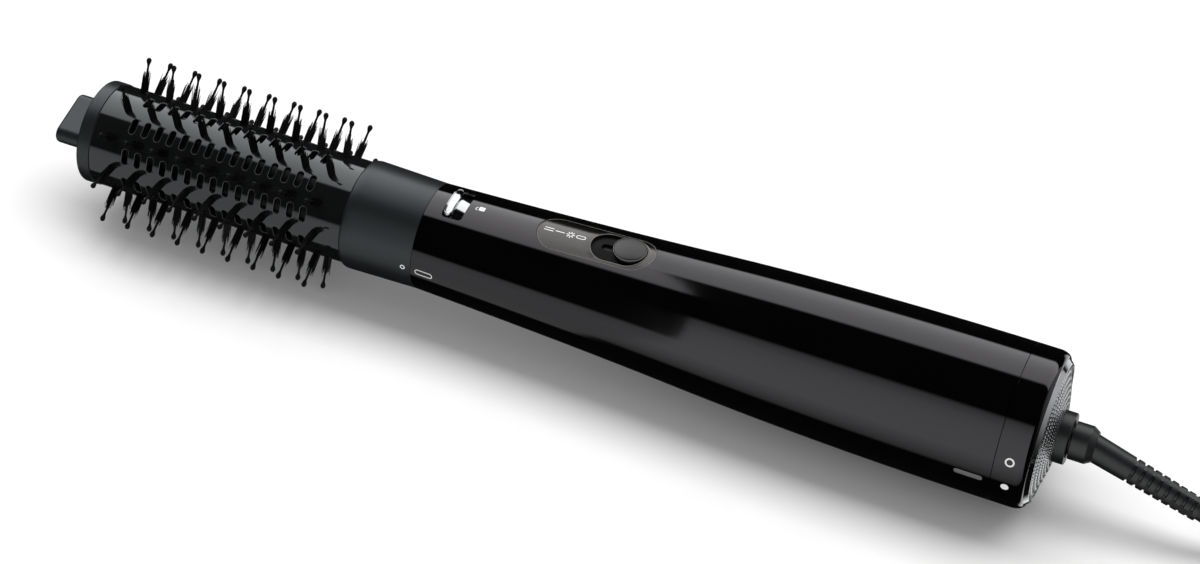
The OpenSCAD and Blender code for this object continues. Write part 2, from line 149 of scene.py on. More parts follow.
# --- Camera ---------------------------------------------------------------------------------
camera_data = bpy.data.cameras.new("studio_camera")
camera_data.sensor_width = 36
camera_data.lens = 88.574
camera_data.clip_start = 0.01
camera = put_in_scene("studio_camera", camera_data)
camera_right = Vector((0.92144, 0.38666, 0.03796))
camera_up = Vector((-0.29306, 0.62757, 0.72130))
camera_back = camera_right.cross(camera_up)
camera.matrix_world = Matrix.Translation((0.25026, -0.62842, 0.67497)) @ Matrix(
    (camera_right, camera_up, camera_back)
).transposed().to_4x4()
bpy.context.scene.camera = camera


# --- Finishes -------------------------------------------------------------------------------
def shader_group(name, inputs, outputs):
    """An empty node group with named value inputs and outputs, and its two end nodes."""
    tree = bpy.data.node_groups.new(name, "ShaderNodeTree")
    for label, default in inputs:
        socket = tree.interface.new_socket(label, in_out="INPUT", socket_type="NodeSocketFloat")
        socket.default_value = default
    for label in outputs:
        tree.interface.new_socket(label, in_out="OUTPUT", socket_type="NodeSocketFloat")
    return tree, tree.nodes.new("NodeGroupInput"), tree.nodes.new("NodeGroupOutput")


def millimetres(tree):
    """Object coordinates, in millimetres."""
    place = tree.nodes.new("ShaderNodeTexCoord")
    scale = tree.nodes.new("ShaderNodeVectorMath")
    scale.operation = "SCALE"
    scale.inputs["Scale"].default_value = 1 / MM
    tree.links.new(place.outputs["Object"], scale.inputs[0])
    return scale.outputs["Vector"]


def noise(tree, where, scale, detail=2.0, roughness=0.5):
    node = tree.nodes.new("ShaderNodeTexNoise")
    node.inputs["Scale"].default_value = scale
    node.inputs["Detail"].default_value = detail
    node.inputs["Roughness"].default_value = roughness
    tree.links.new(where, node.inputs["Vector"])
    return node


def math_node(tree, operation, a, b, clamp=False):
    """The output of a Math node fed with numbers or with other outputs."""
    node = tree.nodes.new("ShaderNodeMath")
    node.operation = operation
    node.use_clamp = clamp
    for socket, value in zip(node.inputs, (a, b)):
        if isinstance(value, (int, float)):
            socket.default_value = value
        else:
            tree.links.new(value, socket)
    return node.outputs[0]


def make_moulded_grain():
    """Fine moulded or brushed grain: a height for bumps, and a slow change of tone."""
    tree, start, end = shader_group("moulded_grain", [("Scale", 4.0)], ["Height", "Tone"])
    where = millimetres(tree)
    fine = noise(tree, where, 4.0, 3.0, 0.6)
    tree.links.new(start.outputs["Scale"], fine.inputs["Scale"])
    broad = noise(tree, where, 0.06, 2.0)
    tree.links.new(fine.outputs["Fac"], end.inputs["Height"])
    tree.links.new(broad.outputs["Fac"], end.inputs["Tone"])
    return tree


def make_handling():
    """Roughness with the faint smears and specks that hands and dust leave on a glossy part."""
    tree, start, end = shader_group("handling", [("Clean", 0.1), ("Smear", 0.05)], ["Roughness"])
    where = millimetres(tree)
    smear = noise(tree, where, 0.09, 4.0, 0.62)
    speck = noise(tree, where, 2.6, 1.0)
    spread = math_node(tree, "MULTIPLY", smear.outputs["Fac"], smear.outputs["Fac"])
    dots = math_node(tree, "GREATER_THAN", speck.outputs["Fac"], 0.74)
    both = math_node(tree, "MULTIPLY_ADD", dots, 0.6)
    tree.links.new(spread, both.node.inputs[2])
    worn = math_node(tree, "MULTIPLY", both, start.outputs["Smear"])
    total = math_node(tree, "ADD", worn, start.outputs["Clean"], clamp=True)
    tree.links.new(total, end.inputs["Roughness"])
    return tree


MOULDED_GRAIN = make_moulded_grain()
HANDLING = make_handling()


def finish(name, dark, light, rough, smear=0.05, grain=4.0, bump=0.05, metal=0.0, ior=1.5,
           sheen=(1, 1, 1)):
    """A finish whose colour drifts from dark to light, with grain in its bump and worn gloss."""
    material = bpy.data.materials.new(name)
    material.use_nodes = True
    tree = material.node_tree
    shader = tree.nodes["Principled BSDF"]
    shader.inputs["Metallic"].default_value = metal
    shader.inputs["IOR"].default_value = ior
    shader.inputs["Specular Tint"].default_value = (*sheen, 1)
    surface = tree.nodes.new("ShaderNodeGroup")
    surface.node_tree = MOULDED_GRAIN
    surface.inputs["Scale"].default_value = grain
    worn = tree.nodes.new("ShaderNodeGroup")
    worn.node_tree = HANDLING
    worn.inputs["Clean"].default_value = rough
    worn.inputs["Smear"].default_value = smear
    tones = tree.nodes.new("ShaderNodeMix")
    tones.data_type = "RGBA"
    tones.inputs["A"].default_value = (*dark, 1)
    tones.inputs["B"].default_value = (*light, 1)
    relief = tree.nodes.new("ShaderNodeBump")
    relief.inputs["Strength"].default_value = bump
    relief.inputs["Distance"].default_value = 0.1 * MM
    tree.links.new(surface.outputs["Tone"], tones.inputs["Factor"])
    tree.links.new(tones.outputs["Result"], shader.inputs["Base Color"])
    tree.links.new(worn.outputs["Roughness"], shader.inputs["Roughness"])
    tree.links.new(surface.outputs["Height"], relief.inputs["Height"])
    tree.links.new(relief.outputs["Normal"], shader.inputs["Normal"])
    return material


def grey(value, warm=0.0):
    """A near-grey colour: a positive warm shifts it to red, a negative one to blue."""
    return (value * (1 + warm), value, value * (1 - warm))


FINISHES = {
    "satin_slate": finish("satin_slate", grey(0.007, -0.14), grey(0.010, -0.14), 0.34, 0.08, 3.0, 0.16,
                          sheen=(0.90, 1.0, 1.03)),
    "gloss_black": finish("gloss_black", grey(0.0005), grey(0.0009), 0.05, 0.03, 0.25, 0.003,
                          sheen=(1.0, 0.96, 1.02)),
    "barrel_black": finish("barrel_black", grey(0.0045, -0.05), grey(0.006, -0.05), 0.06, 0.04, 0.3,
                           0.004, ior=1.6, sheen=(0.93, 1.0, 1.02)),
    "bristle_black": finish("bristle_black", grey(0.001), grey(0.002), 0.5, 0.2, 6.0, 0.1, ior=1.25),
    "chrome": finish("chrome", grey(0.42, -0.02), grey(0.48, -0.02), 0.07, 0.05, 0.5, 0.01, metal=1.0),
    "plate_bronze": finish("plate_bronze", grey(0.002, 0.1), grey(0.0035, 0.1), 0.13, 0.05, 1.2, 0.02,
                           ior=1.6, sheen=(1.0, 0.96, 0.92)),
    "knob_black": finish("knob_black", grey(0.002, 0.04), grey(0.004, 0.04), 0.34, 0.1, 4.0, 0.05),
    "grille_steel": finish("grille_steel", grey(0.30, -0.02), grey(0.42, -0.02), 0.2, 0.1, 3.0, 0.04,
                           metal=1.0),
    "inner_black": finish("inner_black", grey(0.004), grey(0.008), 0.5, 0.15, 2.0, 0.12),
    "steel": finish("steel", grey(0.45), grey(0.56), 0.25, 0.15, 2.0, 0.05, metal=1.0),
    "mica": finish("mica", (0.42, 0.34, 0.20), (0.55, 0.46, 0.30), 0.45, 0.2, 1.0, 0.2),
    "heater_wire": finish("heater_wire", grey(0.22, 0.08), grey(0.32, 0.12), 0.38, 0.2, 3.0, 0.1,
                          metal=1.0),
    "board_green": finish("board_green", (0.008, 0.07, 0.025), (0.012, 0.10, 0.035), 0.35, 0.15, 1.5,
                          0.08),
    "white_nylon": finish("white_nylon", grey(0.55, 0.02), grey(0.66, 0.02), 0.4, 0.1, 2.0, 0.08),
    "wire_red": finish("wire_red", (0.20, 0.008, 0.006), (0.28, 0.014, 0.010), 0.45, 0.1, 3.0, 0.08),
    "lint_mesh": finish("lint_mesh", grey(0.03), grey(0.06), 0.5, 0.2, 6.0, 0.5, metal=1.0),
    "boss_black": finish("boss_black", grey(0.006, -0.1), grey(0.010, -0.1), 0.36, 0.12, 5.0, 0.16),
    "cord_black": finish("cord_black", grey(0.006, -0.08), grey(0.010, -0.08), 0.42, 0.15, 3.5, 0.18),
    "pin_nickel": finish("pin_nickel", grey(0.58, 0.03), grey(0.68, 0.03), 0.16, 0.15, 1.5, 0.03,
                         metal=1.0),
}
# Painted highlight: a light grey matt finish for thin lines along edges that catch the light
PAINTED_EDGE_HIGHLIGHT = finish("painted_edge_highlight", grey(0.11, 0.04), grey(0.15, 0.04), 0.35, 0.1, 1.0, 0.02)
# Painted highlight: a light grey line along the front edge of the grille's rim
PAINTED_RIM_HIGHLIGHT = finish("painted_rim_highlight", grey(0.42), grey(0.5), 0.3, 0.1, 1.0, 0.02)
# Painted highlight: a lighter grey on the rounded lips of the barrel's slots
PAINTED_SLOT_HIGHLIGHT = finish("painted_slot_highlight", grey(0.045, -0.05), grey(0.06, -0.05), 0.3, 0.1, 1.0, 0.02)
# Painted shade: a darker, duller finish for the faces sunk below the switch plate
PAINTED_RECESS_SHADE = finish("painted_recess_shade", grey(0.001), grey(0.002), 0.5, 0.1, 3.0, 0.05, ior=1.2)
WHITE_PRINT = finish("white_print", grey(0.88), grey(0.94), 0.5, 0.1, 5.0, 0.1)
SILVER_PRINT = finish("silver_print", grey(0.30), grey(0.42), 0.32, 0.15, 5.0, 0.1, metal=0.8)


# --- Making pieces --------------------------------------------------------------------------
def piece(name, bm, body, slot, replaces=(), material=None, sharp=38, even=True, to_row=TO_ROW):
    """Puts a mesh made in millimetres in its place, on its body, with its finish."""
    bm.transform(to_row)
    mesh = mesh_of(name, bm)
    mesh.shade_smooth()
    mesh.set_sharp_from_angle(angle=math.radians(sharp))
    mesh.materials.append(material or FINISHES[slot])
    made = put_in_scene(name, mesh)
    if even:
        shading = made.modifiers.new("even_shading", "WEIGHTED_NORMAL")
        shading.weight = 80
        shading.keep_sharp = True
    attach(made, body)
    if replaces:
        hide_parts(*replaces)
    return made


def tidy_mesh(bm, near=0.0005):
    bmesh.ops.remove_doubles(bm, verts=bm.verts[:], dist=near)
    bmesh.ops.recalc_face_normals(bm, faces=bm.faces[:])


def face_outward(bm):
    """Turns every face of one closed shape outwards."""
    bmesh.ops.recalc_face_normals(bm, faces=bm.faces[:])
    if bm.calc_volume(signed=True) < 0:
        bmesh.ops.reverse_faces(bm, faces=bm.faces[:])


def verts_in(geom):
    """The vertices among the elements that an operator gives back."""
    return [v for v in geom if isinstance(v, bmesh.types.BMVert)]


def edges_of(verts):
    return list({e for v in verts for e in v.link_edges})


def everything(bm):
    return bm.verts[:] + bm.edges[:] + bm.faces[:]


def closed_line(bm, verts):
    return [bm.edges.new(pair) for pair in zip(verts, verts[1:] + verts[:1])]


def bridge_all(bm, loops):
    """A skin from each loop of edges to the next."""
    for a, b in zip(loops, loops[1:]):
        bmesh.ops.bridge_loops(bm, edges=a + b)


def add_shape(bm, shape):
    """Adds a shape made on its own to another, and lets it go."""
    mesh = mesh_of("shape", shape)
    bm.from_mesh(mesh)
    bpy.data.meshes.remove(mesh)


def rounded(bm, geom, width, segments, affect="EDGES", clamp=False):
    """Rounds edges or corners, and gives the new faces."""
    return bmesh.ops.bevel(bm, geom=geom, offset=width, offset_type="OFFSET", segments=segments,
                           profile=0.5, affect=affect, clamp_overlap=clamp, material=-1)["faces"]


def soften(bm, width, segments=3, angle=28, where=None):
    """Rounds the edges that are sharper than an angle."""
    bm.normal_update()
    edges = [
        e
        for e in bm.edges
        if e.is_manifold
        and e.calc_face_angle(0) > math.radians(angle)
        and (where is None or where(e))
    ]
    rounded(bm, edges, width, segments, clamp=True)


def turned(outline, steps=96, closed=True, axis=(1, 0, 0), centre=(0, 0, 0)):
    """A turned part: an outline of (along, radius) points, spun once round its axis."""
    bm = bmesh.new()
    if axis[0]:
        verts = [bm.verts.new((along, 0, radius)) for along, radius in outline]
    else:
        verts = [bm.verts.new((centre[0] + radius, 0, along)) for along, radius in outline]
    pairs = zip(verts, verts[1:] + verts[:1] if closed else verts[1:])
    edges = [bm.edges.new(pair) for pair in pairs]
    bmesh.ops.spin(bm, geom=verts + edges, axis=axis, cent=centre, angle=FULL_TURN, steps=steps,
                   use_merge=True, use_duplicate=False)
    tidy_mesh(bm)
    return bm


def box(bm, x, y, z):
    """A block between two values on each axis."""
    middle = Vector(((x[0] + x[1]) / 2, (y[0] + y[1]) / 2, (z[0] + z[1]) / 2))
    size = Matrix.Diagonal((x[1] - x[0], y[1] - y[0], z[1] - z[0], 1))
    return bmesh.ops.create_cube(bm, size=1, matrix=Matrix.Translation(middle) @ size)["verts"]


def stadium_ring(bm, x0, x1, half, segments=48):
    """The outline of a round-ended slot from x0 to x1, and its edges."""
    turn = Matrix.Rotation(math.pi / segments, 4, "Z")
    ring = bmesh.ops.create_circle(bm, cap_ends=False, segments=segments, radius=half, matrix=turn)
    verts = ring["verts"]
    stretch = (x1 - x0) / 2 - half
    for v in verts:
        v.co.x += math.copysign(stretch, v.co.x) + (x0 + x1) / 2
    return verts, edges_of(verts)


def stadium_prism(x0, x1, half, low, high, segments=64):
    """A round-ended block standing on z = low."""
    bm = bmesh.new()
    verts, edges = stadium_ring(bm, x0, x1, half, segments)
    face = bmesh.ops.contextual_create(bm, geom=edges)["faces"]
    bmesh.ops.translate(bm, verts=verts, vec=(0, 0, low))
    top = bmesh.ops.extrude_face_region(bm, geom=face, use_keep_orig=True)["geom"]
    bmesh.ops.translate(bm, verts=verts_in(top), vec=(0, 0, high - low))
    bmesh.ops.recalc_face_normals(bm, faces=bm.faces[:])
    return bm


def carved(bm, cutters):
    """The mesh with each cutter's volume taken away."""
    block = put_in_scene("blank", mesh_of("blank", bm))
    tools = [put_in_scene("cutter", mesh_of("cutter", cutter)) for cutter in cutters]
    for tool in tools:
        cut = block.modifiers.new("opening", "BOOLEAN")
        cut.operation = "DIFFERENCE"
        cut.solver = "EXACT"
        cut.object = tool
    result = bmesh.new()
    result.from_object(block, bpy.context.evaluated_depsgraph_get())
    for made in [block, *tools]:
        bpy.data.objects.remove(made)
    return result


def true_skin(made, radius_at, slope_at, near=0.06):
    """Gives the outer skin of a turned part its exact normals, so that a gloss runs evenly."""
    mesh = made.data
    normals = [Vector(n.vector) for n in mesh.corner_normals]
    for face in mesh.polygons:
        corners = [FROM_ROW @ mesh.vertices[i].co for i in face.vertices]
        if all(abs(math.hypot(c.y, c.z) - radius_at(c.x)) < near for c in corners):
            for loop, c in zip(face.loop_indices, corners):
                radius = math.hypot(c.y, c.z)
                normals[loop] = Vector((-slope_at(c.x), c.y / radius, c.z / radius)).normalized()
    mesh.normals_split_custom_set(normals)


# --- Lead: one cord from the swivel to the plug -----------------------------------------------
def glide(u):
    """Goes from 0 to 1 with a soft start and stop."""
    return u * u * (3 - 2 * u)


def through(points, steps):
    """A smooth line through the points."""
    line = []
    for i in range(len(points) - 1):
        a, b, c, d = (points[min(max(k, 0), len(points) - 1)] for k in (i - 1, i, i + 1, i + 2))
        for k in range(steps):
            t = k / steps
            line.append(
                0.5 * (2 * b + (c - a) * t + (2 * a - 5 * b + 4 * c - d) * t**2
                       + (3 * b - a - 3 * c + d) * t**3)
            )
    return line + [points[-1]]


COIL_IN, COIL_STEP, COIL_TURNS, CLIMB_TURNS = 24.5, 6.3, 3.0625, 0.3
LAYER_Z = (3.7, 9.8, 15.9)
COIL_OUT = COIL_IN + COIL_STEP * COIL_TURNS
ENTRY_ANGLE = 135
TAIL_R = 25
PLUG_Z = LAYER_Z[1] + CORD_R + 0.05 + 13.05
STEPS_A_TURN = 40
coil_low, coil_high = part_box("cord_coil")
coil_centre = (coil_low + coil_high) / 2 / MM
relief_start = TO_ROW @ Vector((RELIEF_X, 0, 0)) / MM
relief_way = Vector((math.cos(RELIEF_TILT), 0, -math.sin(RELIEF_TILT)))
relief_end = relief_start + RELIEF_LENGTH * relief_way


def on_coil(angle, radius, z):
    a = math.radians(angle)
    return Vector((coil_centre.x + radius * math.cos(a), coil_centre.y + radius * math.sin(a), z))


def coil_point(t):
    """A point on the coil after t turns: in, up, out, up."""
    angle = ENTRY_ANGLE - 360 * t
    second = COIL_TURNS + CLIMB_TURNS
    third = 2 * COIL_TURNS + CLIMB_TURNS
    if t <= COIL_TURNS:
        return on_coil(angle, COIL_OUT - COIL_STEP * t, LAYER_Z[0])
    if t <= second:
        rise = glide((t - COIL_TURNS) / CLIMB_TURNS)
        return on_coil(angle, COIL_IN, LAYER_Z[0] + (LAYER_Z[1] - LAYER_Z[0]) * rise)
    if t <= third:
        return on_coil(angle, COIL_IN + COIL_STEP * (t - second), LAYER_Z[1])
    rise = glide(min((t - third) / CLIMB_TURNS, 1))
    return on_coil(angle, COIL_OUT, LAYER_Z[1] + (LAYER_Z[2] - LAYER_Z[1]) * rise)


all_turns = 2 * COIL_TURNS + 2 * CLIMB_TURNS
climb_end = ENTRY_ANGLE - 360 * all_turns
tail_start = coil_point(all_turns)
tail_side = Vector((math.cos(math.radians(climb_end)), math.sin(math.radians(climb_end)), 0))
tail_centre = tail_start - TAIL_R * tail_side
tail_sweep = (climb_end - 90) % 360


def tail_point(u):
    """The way back over the coil to the plug, in one wide turn."""
    a = math.radians(climb_end - tail_sweep * u)
    z = LAYER_Z[2] + (PLUG_Z - LAYER_Z[2]) * glide(u)
    return Vector((tail_centre.x + TAIL_R * math.cos(a), tail_centre.y + TAIL_R * math.sin(a), z))


to_floor = [
    Vector(p)
    for p in ((215.6, 0.5, 13.6), (221.4, 1.8, 10), (227, 4, 6.5), (232.2, 7, 4.4), (237.9, 11.7, 3.7))
]
route = [relief_start + (relief_end - relief_start) * k / 6 for k in range(6)]
route += through([relief_end, *to_floor], 5)[:-1]
coil_steps = round(all_turns * STEPS_A_TURN)
route += [coil_point(all_turns * k / coil_steps) for k in range(coil_steps)]
route += [tail_point(k / 24) for k in range(25)]
plug_start = route[-1]
route.append(plug_start + Vector((6, 0, 0)))

cord_curve = bpy.data.curves.new("mains_cord", "CURVE")
cord_curve.dimensions = "3D"
cord_curve.bevel_depth = CORD_R * MM
cord_curve.bevel_resolution = 5
cord_curve.use_fill_caps = True
strand = cord_curve.splines.new("POLY")
strand.points.add(len(route) - 1)
for point, place in zip(strand.points, route):
    point.co = (*(place * MM), 1)
strand.use_smooth = True
cord_curve.materials.append(FINISHES["cord_black"])
mains_cord = put_in_scene("mains_cord", cord_curve)
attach(mains_cord, "lead")
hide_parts("cord_run", "cord_coil", "cord_tail")

# The lead's far pieces are made in millimetres from the shared frame's own origin
ROW_MM = Matrix.Scale(MM, 4)
AT_PLUG = Matrix.Translation(plug_start)


def make_strain_relief():
    """A tapered sleeve with a ribbed end: rings on a core, joined by four bars along it."""
    first_gap, gap, pitch, gaps, core = 14, 1.1, 3, 8, 3.1

    def radius(along):
        return 4.4 - 0.7 * along / RELIEF_LENGTH

    outline = [(0, 1.5), (0, radius(0))]
    for k in range(gaps):
        a = first_gap + pitch * k
        outline += [(a, radius(a)), (a, core), (a + gap, core), (a + gap, radius(a + gap))]
    outline += [(RELIEF_LENGTH, radius(RELIEF_LENGTH)), (RELIEF_LENGTH, CORD_R - 0.02)]
    bm = turned(outline, 64)
    soften(bm, 0.16, 2, 60)
    for k in range(4):
        bar = box(bm, (first_gap - 1, RELIEF_LENGTH - 1.5), (-0.95, 0.95), (2.6, 3.78))
        bmesh.ops.rotate(bm, verts=bar, cent=(0, 0, 0),
                         matrix=Matrix.Rotation(k * FULL_TURN / 4, 3, "X"))
    place = Matrix.Translation((RELIEF_X, 0, 0)) @ Matrix.Rotation(RELIEF_TILT, 4, "Y")
    bm.transform(place)
    return piece("relief_sleeve", bm, "lead", "boss_black", ["strain_relief"])


def make_coil_tie():
    """A hook-and-loop strap round the bundle, with its end lapped over the top."""
    inner, outer = COIL_IN - CORD_R - 0.6, COIL_OUT + CORD_R + 0.4
    low, high = 0.35, LAYER_Z[1] + CORD_R + 0.35
    width = 8
    bm = bmesh.new()
    corners = [bm.verts.new((x, -width / 2, z))
               for x, z in ((inner, low), (outer, low), (outer, high), (inner, high))]
    rounded(bm, corners + closed_line(bm, corners), 2.6, 8, affect="VERTICES", clamp=True)
    wall = bmesh.ops.extrude_edge_only(bm, edges=bm.edges[:])["geom"]
    bmesh.ops.translate(bm, verts=verts_in(wall), vec=(0, width, 0))
    bmesh.ops.recalc_face_normals(bm, faces=bm.faces[:])
    bmesh.ops.solidify(bm, geom=bm.faces[:], thickness=-0.3)
    face_outward(bm)
    lap = box(bm, (inner + 4, outer - 5), (-width / 2 + 0.3, width / 2 - 0.3),
              (high + 0.2, high + 0.7))
    rounded(bm, edges_of(lap), 0.2, 2)
    turn = Matrix.Rotation(math.radians(200), 4, "Z")
    bm.transform(Matrix.Translation((coil_centre.x, coil_centre.y, 0)) @ turn)
    return piece("coil_strap", bm, "lead", "cord_black", ["coil_tie"], to_row=ROW_MM)


def make_plug():
    """A round-pin plug body, lofted from its cord end to its face, with two grip grooves round it."""
    sections = [(0, 15, 11.4), (0.8, 16, 12), (5, 20.6, 15.8), (10, 26, 20), (13, 28.8, 21.4),
                (14.2, 28.6, 21.2), (15.6, 30.4, 22.8), (18.4, 33, 24.4), (19.6, 32.8, 24.2),
                (21, 35, 25.6), (25, 36.4, 26), (35, 36.8, 26), (36, 35.4, 24.6)]
    bm = bmesh.new()
    rings = []
    for along, width, thick in sections:
        verts, edges = stadium_ring(bm, -width / 2, width / 2, thick / 2, 64)
        place = Matrix.Translation((PLUG_BODY[0] + along, 0, 0)) @ ACROSS
        bmesh.ops.transform(bm, verts=verts, matrix=place)
        rings.append(edges)
    bridge_all(bm, rings)
    for ends in (rings[0], rings[-1]):
        bmesh.ops.contextual_create(bm, geom=ends)
    tidy_mesh(bm)
    bm.transform(AT_PLUG)
    return piece("plug_housing", bm, "lead", "cord_black", ["plug_body"], to_row=ROW_MM)


def make_plug_relief():
    """The plug's own ribbed sleeve, widening towards its body."""
    outline = [(-0.5, CORD_R - 0.02), (-0.5, 3.4)]
    for k in range(6):
        a = 1.5 + 3 * k
        r = 3.5 + 2 * a / 22
        outline += [(a, r), (a + 0.5, r - 0.5), (a + 1.2, r - 0.45), (a + 1.7, r + 0.15)]
    outline += [(22.5, 5.6), (22.5, CORD_R - 0.02)]
    bm = turned(outline, 48)
    bm.transform(AT_PLUG)
    return piece("plug_sleeve", bm, "lead", "cord_black", ["plug_relief"], to_row=ROW_MM)


def make_pins():
    """Two round pins with rounded tips."""
    foot, length, radius = PLUG_BODY[1], 19, 2.4
    bm = bmesh.new()
    for side in (-9.5, 9.5):
        pin = turned([(foot - 1, 0), (foot - 1, radius), (foot + length - 1.4, radius),
                      (foot + length - 0.6, radius - 0.35), (foot + length - 0.15, radius - 1.1),
                      (foot + length, 0)], 40, closed=False)
        pin.transform(AT_PLUG @ Matrix.Translation((0, side, 0)))
        add_shape(bm, pin)
    return piece("contact_pins", bm, "lead", "pin_nickel", ["plug_pins"], to_row=ROW_MM)


lead_pieces = [make_strain_relief(), make_coil_tie(), make_plug_relief(), make_plug(), make_pins()]


# --- Brush ------------------------------------------------------------------------------------
def make_tip_grip():
    """The flat round-ended grip that turns the brush."""
    width, thick, length, rise = 19.5, 6.6, 12.4, 1.5
    bm = stadium_prism(-width / 2, width / 2, thick / 2, 0, length, 64)
    soften(bm, 1.3, 5, 60, where=lambda e: all(v.co.z < 0.1 for v in e.verts))
    turn = Matrix.Rotation(-ROW_TURN, 4, "X")
    bm.transform(turn @ Matrix.Translation((RING_FRONT - length, 0, rise)) @ ACROSS)
    face_outward(bm)
    return piece("grip_bar", bm, "brush", "satin_slate", ["tip_grip"])


def make_tip_ring():
    """The cap of the barrel's free end, rounded round its front."""
    bm = turned([(RING_FRONT, 1.6), (RING_FRONT, 17.3), (-8.35, 17.3), (-8.35, 15.55), (-5, 15.55),
                 (-5, 13.6), (-10.1, 13.6), (-10.1, 1.6)], 160)
    soften(bm, 0.55, 4, 60,
           where=lambda e: all(v.co.x < RING_FRONT + 0.1 and v.co.yz.length > 10 for v in e.verts))
    soften(bm, 0.12, 2, 60)
    return piece("end_ring", bm, "brush", "satin_slate", ["tip_ring"])


def make_collar():
    """The collar that joins the brush to the handle, with a keyway for the latch."""
    bm = turned([(82.5, 17.02), (82.5, 17.3), (82.8, 17.75), (83.2, 17.95), (83.9, 18.08), COLLAR_WIDEST,
                 COLLAR_END, (107.9, 15.4), (93, 15.4), (93, 13.5), (90, 13.5), (90, 17.02)], 160)
    soften(bm, 0.15, 2, 60)
    key = bmesh.new()
    box(key, (94, 109), (-3.2, 3.2), (14, 16.7))
    return piece("brush_cuff", carved(bm, [key]), "brush", "satin_slate", ["brush_collar"])


def roll_up(bm):
    """Rolls a flat sheet, X along the barrel and Y along its girth, into a tube."""
    for v in bm.verts:
        turn = v.co.y / BARREL_R
        reach = BARREL_R + v.co.z
        v.co = Vector((v.co.x, reach * math.sin(turn), reach * math.cos(turn)))


def make_barrel():
    """The slotted tube: one flat cell with its slot, repeated, rolled up and given its wall."""
    cell_x = TUFT_PITCH / 2
    cell_y = ROW_STEP * BARREL_R
    girth_cuts = 10
    first_x = cell_x / 2
    last_x = (SLOTS + 0.5) * cell_x
    bm = bmesh.new()
    slot = stadium_ring(bm, -SLOT_LENGTH / 2, SLOT_LENGTH / 2, SLOT_WIDTH / 2, 24)[0]
    bmesh.ops.rotate(bm, verts=slot, cent=(0, 0, 0), matrix=Matrix.Rotation(math.pi / 2, 3, "Z"))
    edge = bmesh.ops.create_grid(bm, x_segments=2, y_segments=girth_cuts, size=0.5)["verts"]
    rim = [v for v in edge if abs(abs(v.co.x) - 0.5) < 1e-4 or abs(abs(v.co.y) - 0.5) < 1e-4]
    bmesh.ops.delete(bm, geom=[v for v in edge if v not in rim], context="VERTS")
    bmesh.ops.delete(bm, geom=[f for f in bm.faces], context="FACES_ONLY")
    rim_set = set(rim)
    inside = [
        e for e in bm.edges
        if e.verts[0] in rim_set and e.verts[1] in rim_set
        and abs((e.verts[0].co.x + e.verts[1].co.x) / 2) < 0.49
        and abs((e.verts[0].co.y + e.verts[1].co.y) / 2) < 0.49
    ]
    bmesh.ops.delete(bm, geom=inside, context="EDGES")
    bmesh.ops.scale(bm, verts=rim, vec=(cell_x, cell_y, 1))
    bmesh.ops.triangle_fill(bm, use_beauty=True, use_dissolve=False, edges=bm.edges[:])
    bmesh.ops.translate(bm, verts=bm.verts[:], vec=(cell_x, cell_y / 2 + ROW_TURN * BARREL_R, 0))
    for count, step in ((SLOTS, Vector((cell_x, 0, 0))), (ROWS, Vector((0, cell_y, 0)))):
        one = everything(bm)
        for k in range(1, count):
            copy = bmesh.ops.duplicate(bm, geom=one)["geom"]
            bmesh.ops.translate(bm, verts=verts_in(copy), vec=step * k)
    bmesh.ops.remove_doubles(bm, verts=bm.verts[:], dist=0.01)
    for stop, end in ((first_x, BARREL_X[0]), (last_x, BARREL_X[1])):
        side = [e for e in bm.edges if all(abs(v.co.x - stop) < 0.01 for v in e.verts)]
        for v in verts_in(bmesh.ops.extrude_edge_only(bm, edges=side)["geom"]):
            v.co.x = end
    roll_up(bm)
    bmesh.ops.remove_doubles(bm, verts=bm.verts[:], dist=0.01)
    bmesh.ops.recalc_face_normals(bm, faces=bm.faces[:])
    outer = bm.faces[:]
    inner = bmesh.ops.extrude_face_region(bm, geom=outer, use_keep_orig=True)["geom"]
    shrink = (BARREL_R - BARREL_WALL) / BARREL_R
    bmesh.ops.scale(bm, verts=verts_in(inner), vec=(1, shrink, shrink))
    bmesh.ops.recalc_face_normals(bm, faces=bm.faces[:])
    lips = [
        e for e in bm.edges
        if e.calc_face_angle(0) > 1 and all(v.co.yz.length > BARREL_R - 0.05 for v in e.verts)
    ]
    # The rounded lips get the lighter grey finish: a painted highlight round each slot
    for face in rounded(bm, lips, 0.16, 2, clamp=True):
        face.material_index = 1
    made = piece("slotted_barrel", bm, "brush", "barrel_black", ["brush_barrel"], even=False)
    made.data.materials.append(PAINTED_SLOT_HIGHLIGHT)
    true_skin(made, lambda x: BARREL_R, lambda x: 0, 0.02)
    return made


def add_tuft(bm, chance):
    """One tuft, standing up Z: bristles with ragged tips round a ball-tipped pin."""
    count = 34
    for k in range(count):
        around = k * GOLDEN_ANGLE + chance.uniform(-0.2, 0.2)
        root = 1.12 * math.sqrt((k + 0.5) / count)
        top = chance.uniform(SHORTEST_R, BRISTLE_R - 0.2) - 0.9 * (root > 0.9) * chance.random()
        splay = chance.uniform(0.05, 0.42)
        foot = Vector((root * math.cos(around), root * math.sin(around), BARREL_R - 0.4))
        spread = root + splay * root
        tip = Vector((spread * math.cos(around), spread * math.sin(around), top))
        lean = Vector((0, 0, 1)).rotation_difference((tip - foot).normalized()).to_matrix().to_4x4()
        place = Matrix.Translation((foot + tip) / 2) @ lean
        bmesh.ops.create_cone(bm, cap_ends=True, cap_tris=False, segments=4, radius1=0.25,
                              radius2=0.07, depth=(tip - foot).length, matrix=place)
    pin = [(15.8, 0), (15.8, 0.5), (22, 0.42), (26.4, 0.36), (27.1, 0.5), (27.7, 0.74), (28.2, BALL_R),
           (28.6, 0.82), (29.0, 0.6), (29.22, 0.32), (BALL_TIP_R, 0)]
    verts = [bm.verts.new((r, 0, z)) for z, r in pin]
    edges = [bm.edges.new(pair) for pair in zip(verts, verts[1:])]
    bmesh.ops.spin(bm, geom=verts + edges, axis=(0, 0, 1), cent=(0, 0, 0), angle=FULL_TURN, steps=10,
                   use_merge=True, use_duplicate=False)


